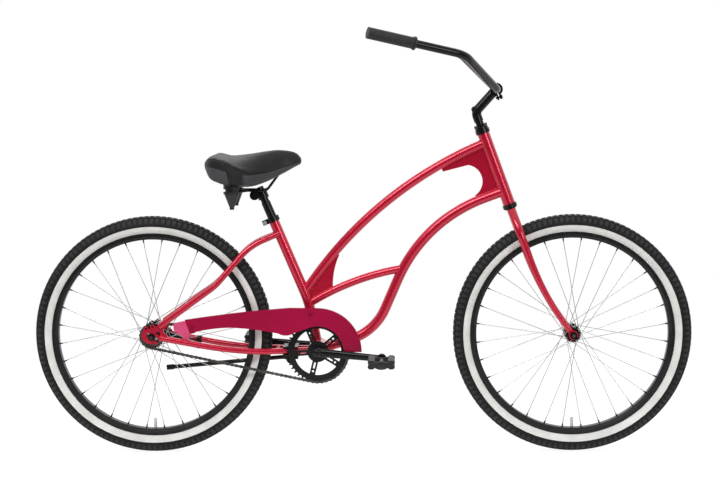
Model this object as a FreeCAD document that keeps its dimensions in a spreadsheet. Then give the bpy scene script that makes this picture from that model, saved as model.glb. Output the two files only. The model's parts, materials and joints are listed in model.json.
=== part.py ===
import FreeCAD, Part
import math
import os
from types import SimpleNamespace

import Sketcher

# Beach cruiser bicycle with a curved step-through frame, one speed and a coaster brake.
# +X points forward, +Y to the rider's left, +Z up. The origin is on the ground midway between the axles.
# Lengths are in millimetres and angles in degrees. The drive side is the right side, at negative Y.

SIZES = {
    # Wheels and the points that the frame hangs on
    "wheelbase": 1164.0,
    "tyre_radius": 331.0,
    "bracket_drop": 44.5,
    "axle_to_bracket": 460.6,
    "head_angle": 70.0,
    "fork_rake": 41.0,
    "seat_angle": 67.15,
    "knee_back": 26.3,
    "knee_height": 135.8,
    # Common clearances
    "overrun": 4.0,
    "fit_gap": 0.1,
    "run_gap": 0.3,
    # Head tube and headset
    "crown_height": 384.0,
    "head_length": 208.0,
    "head_radius": 17.0,
    "head_wall": 2.3,
    "cup_height": 14.0,
    "cup_insert": 8.0,
    "cup_bore": 13.3,
    "cup_radius": 20.0,
    "cup_floor": 4.8,
    "cup_skirt": 11.5,
    "cup_skirt_bore": 17.8,
    "head_ball_radius": 2.38,
    "race_radius": 16.8,
    "race_height": 6.5,
    "race_cap_radius": 19.0,
    "race_cap_height": 3.5,
    "lock_washer_height": 2.0,
    "locknut_height": 7.0,
    "locknut_radius": 18.5,
    # Main tubes
    "tube_wall": 1.5,
    "top_tube_radius": 12.7,
    "top_tube_drop": 26.0,
    "top_tube_rise": 27.0,
    "top_tube_bow": 49.5,
    "down_tube_radius": 14.3,
    "down_tube_rise": 39.0,
    "down_upper_ahead": 294.0,
    "down_upper_height": 358.4,
    "down_lower_ahead": 158.1,
    "down_lower_height": 48.7,
    "cross_tube_radius": 11.1,
    "cross_tube_drop": 8.0,
    "cross_tube_bow": 14.0,
    "seat_tube_radius": 14.3,
    "seat_tube_upper": 255.5,
    "seat_tube_bend": 300.0,
    "shell_radius": 28.5,
    "shell_bore": 25.7,
    "shell_length": 68.0,
    "gusset_thickness": 3.0,
    "head_gusset_length": 141.0,
    "head_gusset_bay": 46.0,
    "seat_gusset_length": 273.5,
    "seat_gusset_bay": 205.0,
    # Stays and dropouts
    "stay_radius": 8.5,
    "stay_tip": 14.0,
    "seat_stay_drop": 49.0,
    "seat_stay_side": 14.0,
    "seat_stay_upper_ahead": 271.6,
    "seat_stay_upper_height": 248.4,
    "seat_stay_upper_side": 34.0,
    "seat_stay_upper_bend": 176.0,
    "seat_stay_lower_ahead": 177.8,
    "seat_stay_lower_height": 141.1,
    "seat_stay_lower_side": 58.5,
    "seat_stay_lower_bend": 141.0,
    "stay_end_ahead": 22.0,
    "seat_stay_end_height": 29.1,
    "stay_end_side": 60.5,
    "chain_stay_end_drop": 2.9,
    "chain_stay_corner_ahead": 240.1,
    "chain_stay_corner_drop": 45.1,
    "chain_stay_corner_side": 50.0,
    "chain_stay_bend": 900.0,
    "chain_stay_root_side": 15.0,
    "bridge_radius": 7.0,
    "bridge_ahead": 346.0,
    "rear_dropout_width": 110.0,
    "dropout_thickness": 5.5,
    "dropout_reach": 50.0,
    "axle_slot_gap": 0.3,
    "slot_back": 11.5,
    "slot_angle": 32.0,
    "eyelet_bore": 2.6,
    # Fork
    "steerer_radius": 12.7,
    "steerer_wall": 1.5,
    "steerer_tail": 32.0,
    "blade_radius": 12.7,
    "blade_tip_radius": 8.0,
    "blade_root_side": 6.0,
    "blade_shoulder_drop": 54.0,
    "blade_side": 52.5,
    "blade_shoulder_bend": 90.0,
    "blade_curve_height": 131.5,
    "blade_curve_bend": 740.0,
    "blade_tip_gap": 17.0,
    "front_dropout_width": 100.0,
    "fork_end_thickness": 5.0,
    "fork_end_radius": 13.0,
    "fork_end_length": 30.0,
    # Stem, handlebar and grips
    "quill_gap": 0.1,
    "quill_depth": 72.0,
    "stem_collar_gap": 9.0,
    "stem_elbow_height": 37.0,
    "stem_elbow_bend": 22.0,
    "stem_radius": 13.0,
    "stem_boss_radius": 9.0,
    "stem_rise": 76.4,
    "stem_reach": 74.8,
    "clamp_radius": 17.5,
    "clamp_width": 42.0,
    "clamp_slit": 3.0,
    "clamp_ear": 13.0,
    "stem_bolt_radius": 3.0,
    "stem_bolt_head": 5.0,
    "expander_length": 22.0,
    "bar_radius": 11.1,
    "bar_wall": 1.8,
    "bar_centre_half": 55.0,
    "bar_corner_back": 93.0,
    "bar_corner_side": 260.0,
    "bar_corner_rise": 96.3,
    "bar_end_back": 343.0,
    "bar_end_side": 335.0,
    "bar_end_rise": 154.7,
    "bar_bend": 65.0,
    "grip_length": 132.0,
    "grip_radius": 15.5,
    "grip_cap": 4.0,
    "grip_flange_radius": 18.0,
    "grip_flange_width": 5.0,
    # Tyres, tubes and rims
    "tyre_section": 27.0,
    "tyre_wall": 3.5,
    "tyre_bead_radius": 282.5,
    "tube_gap": 0.6,
    "tube_skin": 1.0,
    "valve_radius": 4.0,
    "valve_length": 44.0,
    "rim_edge_radius": 283.0,
    "rim_shoulder_radius": 274.0,
    "rim_bed_radius": 266.0,
    "rim_half_width": 19.0,
    "rim_bed_half_width": 12.0,
    "rim_wall": 1.8,
    "rim_bed_wall": 2.5,
    # Spokes
    "spoke_radius": 1.0,
    "spoke_elbow": 2.6,
    "spoke_bend": 2.5,
    "spoke_head_radius": 1.9,
    "spoke_head_height": 1.2,
    "spoke_stagger": 4.0,
    "spoke_lace_angle": 67.5,
    "nipple_radius": 2.0,
    "nipple_length": 11.0,
    "nipple_head_radius": 3.0,
    "nipple_head_height": 2.5,
    "nipple_seat": 3.1,
    # Front hub
    "front_flange_radius": 22.5,
    "front_flange_side": 32.0,
    "front_flange_thickness": 3.0,
    "front_hole_circle": 19.5,
    "front_barrel_radius": 12.5,
    "front_end_radius": 15.0,
    "front_hub_half": 40.0,
    "front_bore": 6.8,
    "front_pocket_radius": 12.0,
    "front_pocket_depth": 9.0,
    "front_ball_radius": 2.35,
    "front_cone_radius": 7.1,
    "front_lock_radius": 8.5,
    "front_lock_width": 8.0,
    # Rear coaster hub
    "rear_flange_radius": 33.0,
    "rear_flange_side": 33.5,
    "rear_flange_thickness": 3.2,
    "rear_hole_circle": 29.5,
    "rear_barrel_radius": 22.0,
    "rear_end_radius": 26.0,
    "rear_hub_half": 38.0,
    "rear_bore": 17.0,
    "rear_pocket_radius": 21.0,
    "rear_pocket_depth": 8.0,
    "rear_ball_radius": 3.15,
    "driver_radius": 14.5,
    "driver_shoulder_radius": 20.0,
    "driver_shoulder_side": 40.0,
    "driver_seat_radius": 17.0,
    "driver_end_side": 49.0,
    "expander_radius": 11.0,
    "shoe_gap": 0.4,
    "shoe_half_length": 18.0,
    "shoe_shift": 4.0,
    "cover_radius": 24.0,
    "cover_thickness": 1.2,
    # Axles
    "axle_radius": 4.75,
    "front_axle_half": 68.0,
    "rear_axle_half": 78.0,
    "axle_washer_radius": 10.0,
    "axle_washer_height": 1.5,
    "axle_nut_radius": 8.7,
    "axle_nut_height": 8.0,
    # Crank, chainring and pedals
    "crank_length": 178.0,
    "spindle_radius": 11.5,
    "elbow_side": 60.0,
    "elbow_radius": 13.5,
    "arm_root_height": 12.5,
    "arm_root_width": 9.0,
    "arm_mid_height": 11.5,
    "arm_mid_width": 8.0,
    "arm_mid_side": 63.5,
    "arm_tip_height": 9.5,
    "arm_tip_width": 6.5,
    "arm_tip_side": 75.0,
    "eye_radius": 14.0,
    "eye_width": 15.0,
    "ring_collar_radius": 19.0,
    "ring_collar_width": 4.0,
    "drive_pin_radius": 4.0,
    "drive_pin_place": 23.0,
    "bracket_ball_radius": 3.17,
    "bracket_cup_bore": 22.0,
    "bracket_cup_lip": 14.5,
    "bracket_cup_depth": 9.0,
    "bracket_cup_floor": 2.5,
    "bracket_cup_rim": 2.5,
    "bracket_cone_flange": 19.0,
    "bracket_lock_radius": 17.5,
    "bracket_lock_width": 6.0,
    "chain_line": 46.0,
    "chain_pitch": 12.7,
    "sprocket_thickness": 3.0,
    "tooth_rise": 3.0,
    "tooth_tip": 1.0,
    "roller_radius": 3.87,
    "roller_gap": 0.35,
    "ring_band_radius": 65.0,
    "ring_hub_radius": 29.0,
    "ring_arm_width": 16.0,
    "ring_hole_place": 56.0,
    "ring_hole_radius": 3.0,
    "ring_slot_start": 33.0,
    "ring_slot_end": 46.0,
    "ring_slot_radius": 2.4,
    "link_height": 4.2,
    "link_plate": 1.0,
    "link_inner_half": 1.65,
    "link_plate_gap": 0.1,
    "link_pin_radius": 1.8,
    "link_pin_gap": 0.15,
    "link_pin_end": 0.5,
    "pedal_thread_radius": 6.35,
    "pedal_pin_radius": 5.5,
    "pedal_gap": 3.5,
    "pedal_width": 104.0,
    "pedal_length": 74.0,
    "pedal_height": 20.0,
    "pedal_barrel_radius": 12.5,
    "pedal_plate": 4.0,
    "pedal_block": 26.0,
    "pedal_groove": 3.0,
    # Chain guard
    "guard_side": 54.8,
    "guard_sheet": 1.2,
    "guard_lip": 8.0,
    "guard_radius": 122.0,
    "guard_window": 72.0,
    "guard_length": 367.0,
    "guard_top_bow": 3500.0,
    "guard_tail_bow": 430.0,
    "guard_belly_bow": 816.0,
    "guard_chin_bow": 40.0,
    "guard_clip_width": 18.0,
    "guard_screw_radius": 2.5,
    "guard_screw_head": 4.5,
    "guard_screw_rise": 2.0,
    "guard_bracket_back": 20.0,
    "guard_bracket_height": 104.0,
    "guard_clip_back": 365.0,
    "guard_clip_height": 70.0,
    "guard_clip_reach": 60.0,
    "guard_tab_drop": 42.0,
    # Coaster brake arm
    "brake_arm_side": 41.0,
    "brake_arm_thickness": 3.0,
    "brake_arm_root": 17.0,
    "brake_arm_tip": 9.0,
    "strap_width": 14.0,
    "strap_wall": 1.5,
    "strap_place": 100.0,
    "strap_ear": 14.0,
    "strap_ear_thickness": 4.0,
    "strap_bolt_radius": 2.5,
    # Kickstand
    "kick_back": 76.0,
    "kick_block_length": 42.0,
    "kick_block_width": 74.0,
    "kick_block_height": 13.0,
    "kick_plate_height": 4.0,
    "kick_bolt_radius": 5.0,
    "kick_bolt_head": 8.5,
    "kick_pivot_back": 81.4,
    "kick_pivot_side": 30.0,
    "kick_pivot_height": 256.0,
    "kick_lug_radius": 12.0,
    "kick_lug_half": 10.0,
    "kick_leg_radius": 6.0,
    "kick_leg_bend": 12.0,
    "kick_pin_out": 20.0,
    "kick_pin_in": 12.0,
    "kick_foot_back": 429.4,
    "kick_foot_side": 56.0,
    "kick_foot_height": 228.0,
    "kick_rubber_radius": 7.5,
    "kick_rubber_length": 20.0,
    # Seat post and saddle
    "collar_height": 14.0,
    "collar_wall": 3.7,
    "collar_ear": 13.0,
    "collar_ear_width": 15.0,
    "collar_slit": 2.5,
    "collar_bolt_radius": 3.0,
    "post_depth": 165.0,
    "post_rise": 90.0,
    "post_neck_radius": 11.1,
    "post_neck_length": 45.0,
    "post_clamp_radius": 15.5,
    "post_clamp_height": 24.0,
    "post_clamp_drop": 22.4,
    "post_barrel_radius": 9.0,
    "post_barrel_back": 19.7,
    "post_barrel_half": 17.0,
    "saddle_bolt_radius": 4.0,
    "saddle_disc_radius": 13.5,
    "saddle_disc_width": 14.0,
    "rail_radius": 3.5,
    "rail_side": 24.0,
    "rail_nose_side": 8.0,
    "rail_rise": 12.5,
    "rail_nose_ahead": 73.0,
    "rail_nose_rise": 66.0,
    "rail_front_ahead": 33.0,
    "rail_rear_back": 23.0,
    "rail_end_rise": 9.0,
    "rail_bend": 16.0,
    "saddle_length": 259.0,
    "saddle_width": 250.0,
    "saddle_depth": 93.0,
    "saddle_back": 133.0,
    "saddle_base": 29.0,
    "pan_thickness": 3.0,
    "damper_side": 72.0,
    "damper_back": 59.0,
    "damper_radius": 23.0,
    "damper_height": 60.0,
}

SPOKE_COUNT = 32
RING_TEETH = 42
SPROCKET_TEETH = 16
RING_ARMS = 5
HEAD_BALLS = 18
BRACKET_BALLS = 11
FRONT_BALLS = 10
REAR_BALLS = 13
PEDAL_GROOVES = 7
CROSS_TUBE_SHARE = 0.572
DOWN_UPPER_BEND_SHARE = 0.746
DOWN_LOWER_BEND_SHARE = 0.429
ARM_MID_SHARE = 0.25
CRANK_DIP = math.radians(5)
RING_TURN_SHARE = 0.556
LINK_WAIST_SHARE = 0.72
PEDAL_BLOCK_SHARE = 0.94
CLAMP_EAR_SHARE = 0.5
KICK_AXIS_SHARES = (0.302, -0.9415, -0.151)
WHEELS = ("front", "rear")
SIDES = (("right", -1), ("left", 1))

Vector = FreeCAD.Vector
AHEAD = Vector(1, 0, 0)
ACROSS = Vector(0, 1, 0)
UP = Vector(0, 0, 1)

doc = FreeCAD.newDocument("beach_cruiser")
sheet = doc.addObject("Spreadsheet::Sheet", "dim")
for row, (word, number) in enumerate(SIZES.items(), start=1):
    sheet.set(f"A{row}", word)
    sheet.set(f"B{row}", str(number))
    sheet.setAlias(f"B{row}", word)
doc.recompute()


class Size:
    """A length from the sheet, with the expression that keeps what it sizes bound to the sheet."""

    def __init__(self, number, text):
        self.number = number
        self.text = text

    def __add__(self, other):
        other = as_size(other)
        return Size(self.number + other.number, f"({self.text} + {other.text})")

    def __radd__(self, other):
        return as_size(other) + self

    def __sub__(self, other):
        other = as_size(other)
        return Size(self.number - other.number, f"({self.text} - {other.text})")

    def __rsub__(self, other):
        return as_size(other) - self

    def __mul__(self, other):
        other = as_size(other)
        return Size(self.number * other.number, f"({self.text} * {other.text})")

    def __rmul__(self, other):
        return as_size(other) * self

    def __truediv__(self, other):
        other = as_size(other)
        return Size(self.number / other.number, f"({self.text} / {other.text})")

    def __neg__(self):
        return Size(-self.number, f"(-1 * {self.text})")

    def __abs__(self):
        return self if self.number > 0 else -self


def as_size(item):
    return item if isinstance(item, Size) else Size(item, repr(item))


mm = SimpleNamespace(**SIZES)
cell = SimpleNamespace(**{word: Size(number, f"dim.{word}") for word, number in SIZES.items()})
nodes = {}


# Helpers that add one kind of object to the document


def bind(item, **sizes):
    for name, size in sizes.items():
        item.setExpression(name, as_size(size).text)


def placed(origin, along=UP, front=AHEAD):
    """A placement with its local Z along one direction and its local X towards another."""
    return FreeCAD.Placement(origin, FreeCAD.Rotation(front, Vector(), along, "ZXY"))


def cylinder(name, radius, length, origin, along=UP):
    item = doc.addObject("Part::Cylinder", name)
    bind(item, Radius=radius, Height=length)
    item.Placement = placed(origin, along)
    return item


def cross_bar(name, radius, length, centre):
    """A cylinder across the bicycle, centred on a point."""
    return cylinder(name, radius, length, centre - ACROSS * (length.number / 2), ACROSS)


def sphere(name, radius, centre):
    item = doc.addObject("Part::Sphere", name)
    bind(item, Radius=radius)
    item.Placement = placed(centre, ACROSS)
    return item


def box(name, length, width, height, origin, along=UP, front=AHEAD):
    """A block centred on its foot, rising along one direction with its length towards another."""
    item = doc.addObject("Part::Box", name)
    bind(item, Length=length, Width=width, Height=height)
    corner = Vector(-length.number / 2, -width.number / 2, 0)
    item.Placement = placed(origin, along, front).multiply(FreeCAD.Placement(corner, FreeCAD.Rotation()))
    return item


def hexagon(name, radius, height, origin, along):
    item = doc.addObject("Part::Prism", name)
    item.Polygon = 6
    bind(item, Circumradius=radius, Height=height)
    item.Placement = placed(origin, along)
    return item


def cut(base, *tools):
    for tool in tools:
        item = doc.addObject("Part::Cut", base.Name + "_less")
        item.Base = base
        item.Tool = tool
        base = item
    return base


def fuse(name, *items):
    item = doc.addObject("Part::MultiFuse", name)
    item.Shapes = list(items)
    return item


def feature(name, shape, placement=None):
    item = doc.addObject("Part::Feature", name)
    item.Shape = shape
    item.Placement = placement or FreeCAD.Placement()
    return item


def node(name, *items):
    """Names a finished piece, or a group of separate solids, as one sub-part."""
    item = items[0]
    if len(items) > 1:
        item = doc.addObject("Part::Compound", name)
        item.Links = list(items)
    item.Label = name
    nodes[name] = item
    return item


def rounded_edges(points, radii):
    """Straight runs through the points, joined at the inner ones by tangent arcs."""
    edges = []
    start = points[0]
    for before, corner, after, radius in zip(points, points[1:], points[2:], radii):
        back = (before - corner).normalize()
        ahead = (after - corner).normalize()
        half = back.getAngle(ahead) / 2
        bisector = (back + ahead).normalize()
        entry = corner + back * (radius / math.tan(half))
        middle = corner + bisector * (radius / math.sin(half) - radius)
        leave = corner + ahead * (radius / math.tan(half))
        edges.append(Part.LineSegment(start, entry).toShape())
        edges.append(Part.Arc(entry, middle, leave).toShape())
        start = leave
    edges.append(Part.LineSegment(start, points[-1]).toShape())
    return edges


def bend_radius(start, corner, after, share):
    """Radius of the tangent arc at a corner that takes up a share of the shorter run there."""
    half = (start - corner).getAngle(after - corner) / 2
    return min((start - corner).Length, (after - corner).Length) * share * math.tan(half)


def path(name, points, radii=()):
    return feature(name, Part.Wire(rounded_edges(points, radii)))


def bowed_path(name, start, end, bow, towards):
    """One arc from start to end whose middle stands off the chord."""
    chord = end - start
    rise = (towards - chord * (towards.dot(chord) / chord.dot(chord))).normalize()
    middle = start + chord * 0.5 + rise * bow
    return feature(name, Part.Wire([Part.Arc(start, middle, end).toShape()]))


def rod(name, line, radius, end_radius=None):
    """A round bar swept along a path, tapering where an end radius is given."""
    edges = line.Shape.OrderedEdges
    ends = [(edges[0], edges[0].FirstParameter, radius)]
    if end_radius is not None:
        ends.append((edges[-1], edges[-1].LastParameter, end_radius))
    sections = []
    for edge, place, size in ends:
        section = doc.addObject("Part::Circle", name + "_section")
        bind(section, Radius=size)
        section.Placement = placed(edge.valueAt(place), edge.tangentAt(place), ACROSS)
        sections.append(section)
    item = doc.addObject("Part::Sweep", name)
    item.Sections = sections
    item.Spine = (line, [f"Edge{index + 1}" for index in range(len(edges))])
    item.Solid = True
    return item


def loft(name, sections):
    item = doc.addObject("Part::Loft", name)
    item.Sections = sections
    item.Solid = True
    return item


def arc_between(start, end, radius):
    """The lesser arc between two points, counterclockwise from start where the radius is positive."""
    chord = end - start
    rise = math.sqrt(radius ** 2 - (chord.Length / 2) ** 2)
    centre = (start + end) * 0.5 + Vector(-chord.y, chord.x, 0).normalize() * math.copysign(rise, radius)
    first, last = (start, end) if radius > 0 else (end, start)
    turns = [math.atan2(point.y - centre.y, point.x - centre.x) for point in (first, last)]
    return Part.ArcOfCircle(Part.Circle(centre, UP, abs(radius)), *turns)


def hold(limits, bound, kind, edge, place, size):
    """Holds one coordinate of a point at a size from the sketch's origin."""
    if size.number == 0:
        axis = -2 if kind == "DistanceX" else -1
        limits.append(Sketcher.Constraint("PointOnObject", edge, place, axis))
        return
    bound.append((len(limits), size.text))
    limits.append(Sketcher.Constraint(kind, -1, 1, edge, place, size.number))


def draw_outline(sketch, points):
    """A closed outline; a point's third value is the radius of the arc that arrives there."""
    points = [[as_size(size) for size in point] for point in points]
    spots = [Vector(point[0].number, point[1].number, 0) for point in points]
    first = sketch.GeometryCount
    limits = []
    bound = []
    lines = []
    ends = []
    for index, start in enumerate(spots):
        following = (index + 1) % len(spots)
        target = points[following]
        if len(target) == 3:
            lines.append(arc_between(start, spots[following], target[2].number))
            ends.append((1, 2) if target[2].number > 0 else (2, 1))
        else:
            lines.append(Part.LineSegment(start, spots[following]))
            ends.append((1, 2))
    for index, point in enumerate(points):
        edge = first + index
        before = first + (index - 1) % len(points)
        limits.append(Sketcher.Constraint("Coincident", before, ends[index - 1][1], edge, ends[index][0]))
        hold(limits, bound, "DistanceX", edge, ends[index][0], point[0])
        hold(limits, bound, "DistanceY", edge, ends[index][0], point[1])
        if len(point) == 3:
            bound.append((len(limits), abs(point[2]).text))
            limits.append(Sketcher.Constraint("Radius", before, abs(point[2].number)))
    return lines, limits, bound


def draw_circle(sketch, circle):
    across, along, radius = [as_size(size) for size in circle]
    edge = sketch.GeometryCount
    limits = []
    bound = []
    hold(limits, bound, "DistanceX", edge, 3, across)
    hold(limits, bound, "DistanceY", edge, 3, along)
    bound.append((len(limits), radius.text))
    limits.append(Sketcher.Constraint("Radius", edge, radius.number))
    spot = Vector(across.number, along.number, 0)
    return [Part.Circle(spot, UP, radius.number)], limits, bound


def draw(body, plane, loops):
    """A sketch of outlines, given as lists of points, and circles, given as tuples."""
    sketch = body.newObject("Sketcher::SketchObject", body.Name + "_sketch")
    support = next(item for item in body.Origin.OriginFeatures if item.Role == plane)
    sketch.AttachmentSupport = [(support, "")]
    sketch.MapMode = "FlatFace"
    for loop in loops:
        maker = draw_circle if isinstance(loop, tuple) else draw_outline
        lines, limits, bound = maker(sketch, loop)
        sketch.addGeometry(lines)
        start = sketch.ConstraintCount
        sketch.addConstraint(limits)
        for index, text in bound:
            sketch.setExpression(f"Constraints[{start + index}]", text)
    return sketch


def turned(name, outline, origin, along):
    """A piece turned about an axis from an outline of radius and place along the axis."""
    body = doc.addObject("PartDesign::Body", name)
    sketch = draw(body, "XZ_Plane", [outline])
    turn = body.newObject("PartDesign::Revolution", name + "_turn")
    turn.Profile = sketch
    turn.ReferenceAxis = (sketch, ["V_Axis"])
    turn.Angle = 360
    body.Placement = placed(origin, along)
    return body


def ring(name, bore, radius, start, end, origin, along):
    return turned(name, [(bore, start), (radius, start), (radius, end), (bore, end)], origin, along)


def plate(name, loops, thickness, origin, along=-ACROSS, front=AHEAD):
    """A flat piece padded from a sketch."""
    body = doc.addObject("PartDesign::Body", name)
    sketch = draw(body, "XY_Plane", loops)
    pad = body.newObject("PartDesign::Pad", name + "_pad")
    pad.Profile = sketch
    bind(pad, Length=thickness)
    body.Placement = placed(origin, along, front)
    return body


def scaled(size, shares):
    """An outline written in shares of one size."""
    return [tuple(size * share for share in point) for point in shares]


def ball_ring(name, count, pitch, radius, origin, along):
    balls = []
    for index in range(count):
        turn = math.tau * index / count
        balls.append(Part.makeSphere(radius, Vector(pitch * math.cos(turn), pitch * math.sin(turn), 0)))
    return feature(name, Part.makeCompound(balls), placed(origin, along))


# The skeleton: axles, steering axis, bracket and seat line

rear_axle = Vector(-mm.wheelbase / 2, 0, mm.tyre_radius)
front_axle = Vector(mm.wheelbase / 2, 0, mm.tyre_radius)
HEAD_TILT = math.radians(90 - mm.head_angle)
STEER_UP = Vector(-math.sin(HEAD_TILT), 0, math.cos(HEAD_TILT))
STEER_FRONT = Vector(math.cos(HEAD_TILT), 0, math.sin(HEAD_TILT))
SEAT_UP = Vector(-math.cos(math.radians(mm.seat_angle)), 0, math.sin(math.radians(mm.seat_angle)))
SEAT_BACK = Vector(-SEAT_UP.z, 0, SEAT_UP.x)
steer_foot = front_axle - STEER_FRONT * mm.fork_rake
bracket_reach = math.sqrt(mm.axle_to_bracket ** 2 - mm.bracket_drop ** 2)
bracket = rear_axle + Vector(bracket_reach, 0, -mm.bracket_drop)
knee = bracket + Vector(-mm.knee_back, 0, mm.knee_height)
seat_top = knee + SEAT_UP * mm.seat_tube_upper
head_foot = mm.crown_height + mm.cup_height
head_top = head_foot + mm.head_length
locknut_top = (head_top + mm.cup_floor + 2 * (mm.head_ball_radius + mm.fit_gap) + mm.race_height
               + mm.lock_washer_height + mm.locknut_height)
CHAIN_WAY = (rear_axle - bracket).normalize()
CHAIN_RISE = Vector(CHAIN_WAY.z, 0, -CHAIN_WAY.x)
CRANK_WAY = Vector(math.cos(CRANK_DIP), 0, -math.sin(CRANK_DIP))
CRANK_RISE = Vector(math.sin(CRANK_DIP), 0, math.cos(CRANK_DIP))
KICK_AXIS = Vector(*KICK_AXIS_SHARES).normalize()


def steer(height, ahead=0, side=0):
    return steer_foot + STEER_UP * height + STEER_FRONT * ahead + ACROSS * side


def from_bracket(ahead, height, side=0):
    return bracket + Vector(ahead, side, height)


def from_rear(ahead, height, side=0):
    return rear_axle + Vector(ahead, side, height)


# Frame tubes


def frame_tubes():
    """The main tubes, each coped to the ones that it meets; returns their outsides for other cuts."""
    head = cylinder("head_outside", cell.head_radius, cell.head_length, steer(head_foot), STEER_UP)
    head_bore = cylinder("head_bore", cell.head_radius - cell.head_wall,
                         cell.head_length + cell.overrun * 2, steer(head_foot - mm.overrun), STEER_UP)
    shell = cross_bar("shell_outside", cell.shell_radius, cell.shell_length, bracket)
    shell_bore = cross_bar("shell_bore", cell.shell_bore, cell.shell_length + cell.overrun * 2, bracket)

    seat_path = path("seat_tube_path", [bracket, knee, seat_top], [mm.seat_tube_bend])
    upper = from_bracket(mm.down_upper_ahead, mm.down_upper_height)
    lower = from_bracket(mm.down_lower_ahead, mm.down_lower_height)
    down_top = steer(head_foot + mm.down_tube_rise)
    down_path = path("down_tube_path", [down_top, upper, lower, bracket],
                     [bend_radius(down_top, upper, lower, DOWN_UPPER_BEND_SHARE),
                      bend_radius(bracket, lower, upper, DOWN_LOWER_BEND_SHARE)])
    top_path = bowed_path("top_tube_path", steer(head_top - mm.top_tube_drop),
                          knee + SEAT_UP * mm.top_tube_rise, mm.top_tube_bow, UP)
    knee_down = (bracket - knee).normalize()
    cross_path = bowed_path("cross_tube_path", knee + knee_down * mm.cross_tube_drop,
                            lower + (upper - lower) * CROSS_TUBE_SHARE, mm.cross_tube_bow, UP)

    seat = rod("seat_tube_outside", seat_path, cell.seat_tube_radius)
    down = rod("down_tube_outside", down_path, cell.down_tube_radius)
    top = rod("top_tube_outside", top_path, cell.top_tube_radius)
    cross = rod("cross_tube_outside", cross_path, cell.cross_tube_radius)
    seat_bore = rod("seat_tube_bore", seat_path, cell.seat_tube_radius - cell.tube_wall)
    down_bore = rod("down_tube_bore", down_path, cell.down_tube_radius - cell.tube_wall)
    top_bore = rod("top_tube_bore", top_path, cell.top_tube_radius - cell.tube_wall)
    cross_bore = rod("cross_tube_bore", cross_path, cell.cross_tube_radius - cell.tube_wall)

    node("head_tube", cut(head, head_bore))
    node("bottom_bracket_shell", cut(shell, shell_bore))
    node("seat_tube", cut(seat, seat_bore, shell))
    node("down_tube", cut(down, down_bore, head, shell, seat))
    node("top_tube", cut(top, top_bore, head, seat))
    node("cross_tube", cut(cross, cross_bore, seat, down, top))
    return SimpleNamespace(head=head, shell=shell, seat=seat, down=down, top=top, cross=cross)


HEAD_GUSSET_SHARES = ((0.0, 0.0), (0.0, 1.014), (0.567, 0.996), (0.567, 0.904))
HEAD_BAY_SHARES = ((0.492, 0.299), (1.0, 0.248), (1.0, 0.163))
SEAT_GUSSET_SHARES = ((-0.115, 0.561), (-0.08, 0.5), (0.152, 0.605), (0.153, 0.661))
SEAT_BAY_SHARES = ((0.22, 0.966), (0.189, 1.0))


def gussets(tubes):
    """Flat webs in the head corner, with its round bay, and in the seat corner."""
    half = mm.gusset_thickness / 2
    reach = cell.head_gusset_length
    entry = HEAD_BAY_SHARES[0]
    outline = [(reach * down, reach * back) for back, down in HEAD_GUSSET_SHARES]
    outline.append((reach * entry[1], reach * entry[0], -cell.head_gusset_bay))
    outline += [(reach * down, reach * back) for back, down in HEAD_BAY_SHARES[1:]]
    head = plate("head_gusset_web", [outline], cell.gusset_thickness,
                 steer(head_top - mm.top_tube_drop, 0, -half), ACROSS, -STEER_UP)
    head = cut(head, tubes.head, tubes.top, tubes.down)

    reach = cell.seat_gusset_length
    outline = scaled(reach, SEAT_GUSSET_SHARES)
    outline.append((reach * SEAT_BAY_SHARES[0][0], reach * SEAT_BAY_SHARES[0][1], -cell.seat_gusset_bay))
    outline += scaled(reach, SEAT_BAY_SHARES[1:])
    seat = plate("seat_gusset_web", [outline], cell.gusset_thickness, from_bracket(0, 0, half))
    seat = cut(seat, tubes.seat, tubes.top, tubes.cross)
    node("gussets", head, seat)


DROPOUT_SHARES = ((-0.56, 0.16), (-0.24, -0.36, 0.52), (0.26, -0.42), (0.54, -0.18), (0.84, -0.28),
                  (0.88, 0.08), (0.68, 0.24), (0.66, 0.4), (0.94, 0.64), (0.76, 0.9), (0.24, 0.58),
                  (0.175, 0.62), (0.12, 0.675), (0.0, 0.675), (-0.055, 0.6), (-0.07, 0.5), (-0.13, 0.43),
                  (-0.18, 0.5), (-0.22, 0.57), (-0.36, 0.58), (-0.42, 0.5), (-0.44, 0.4))
DROPOUT_WINDOW_SHARES = ((0.17, 0.24), (0.47, 0.04), (0.44, 0.33))
EYELET_SHARES = ((0.06, 0.56), (-0.3, 0.46))


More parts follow.
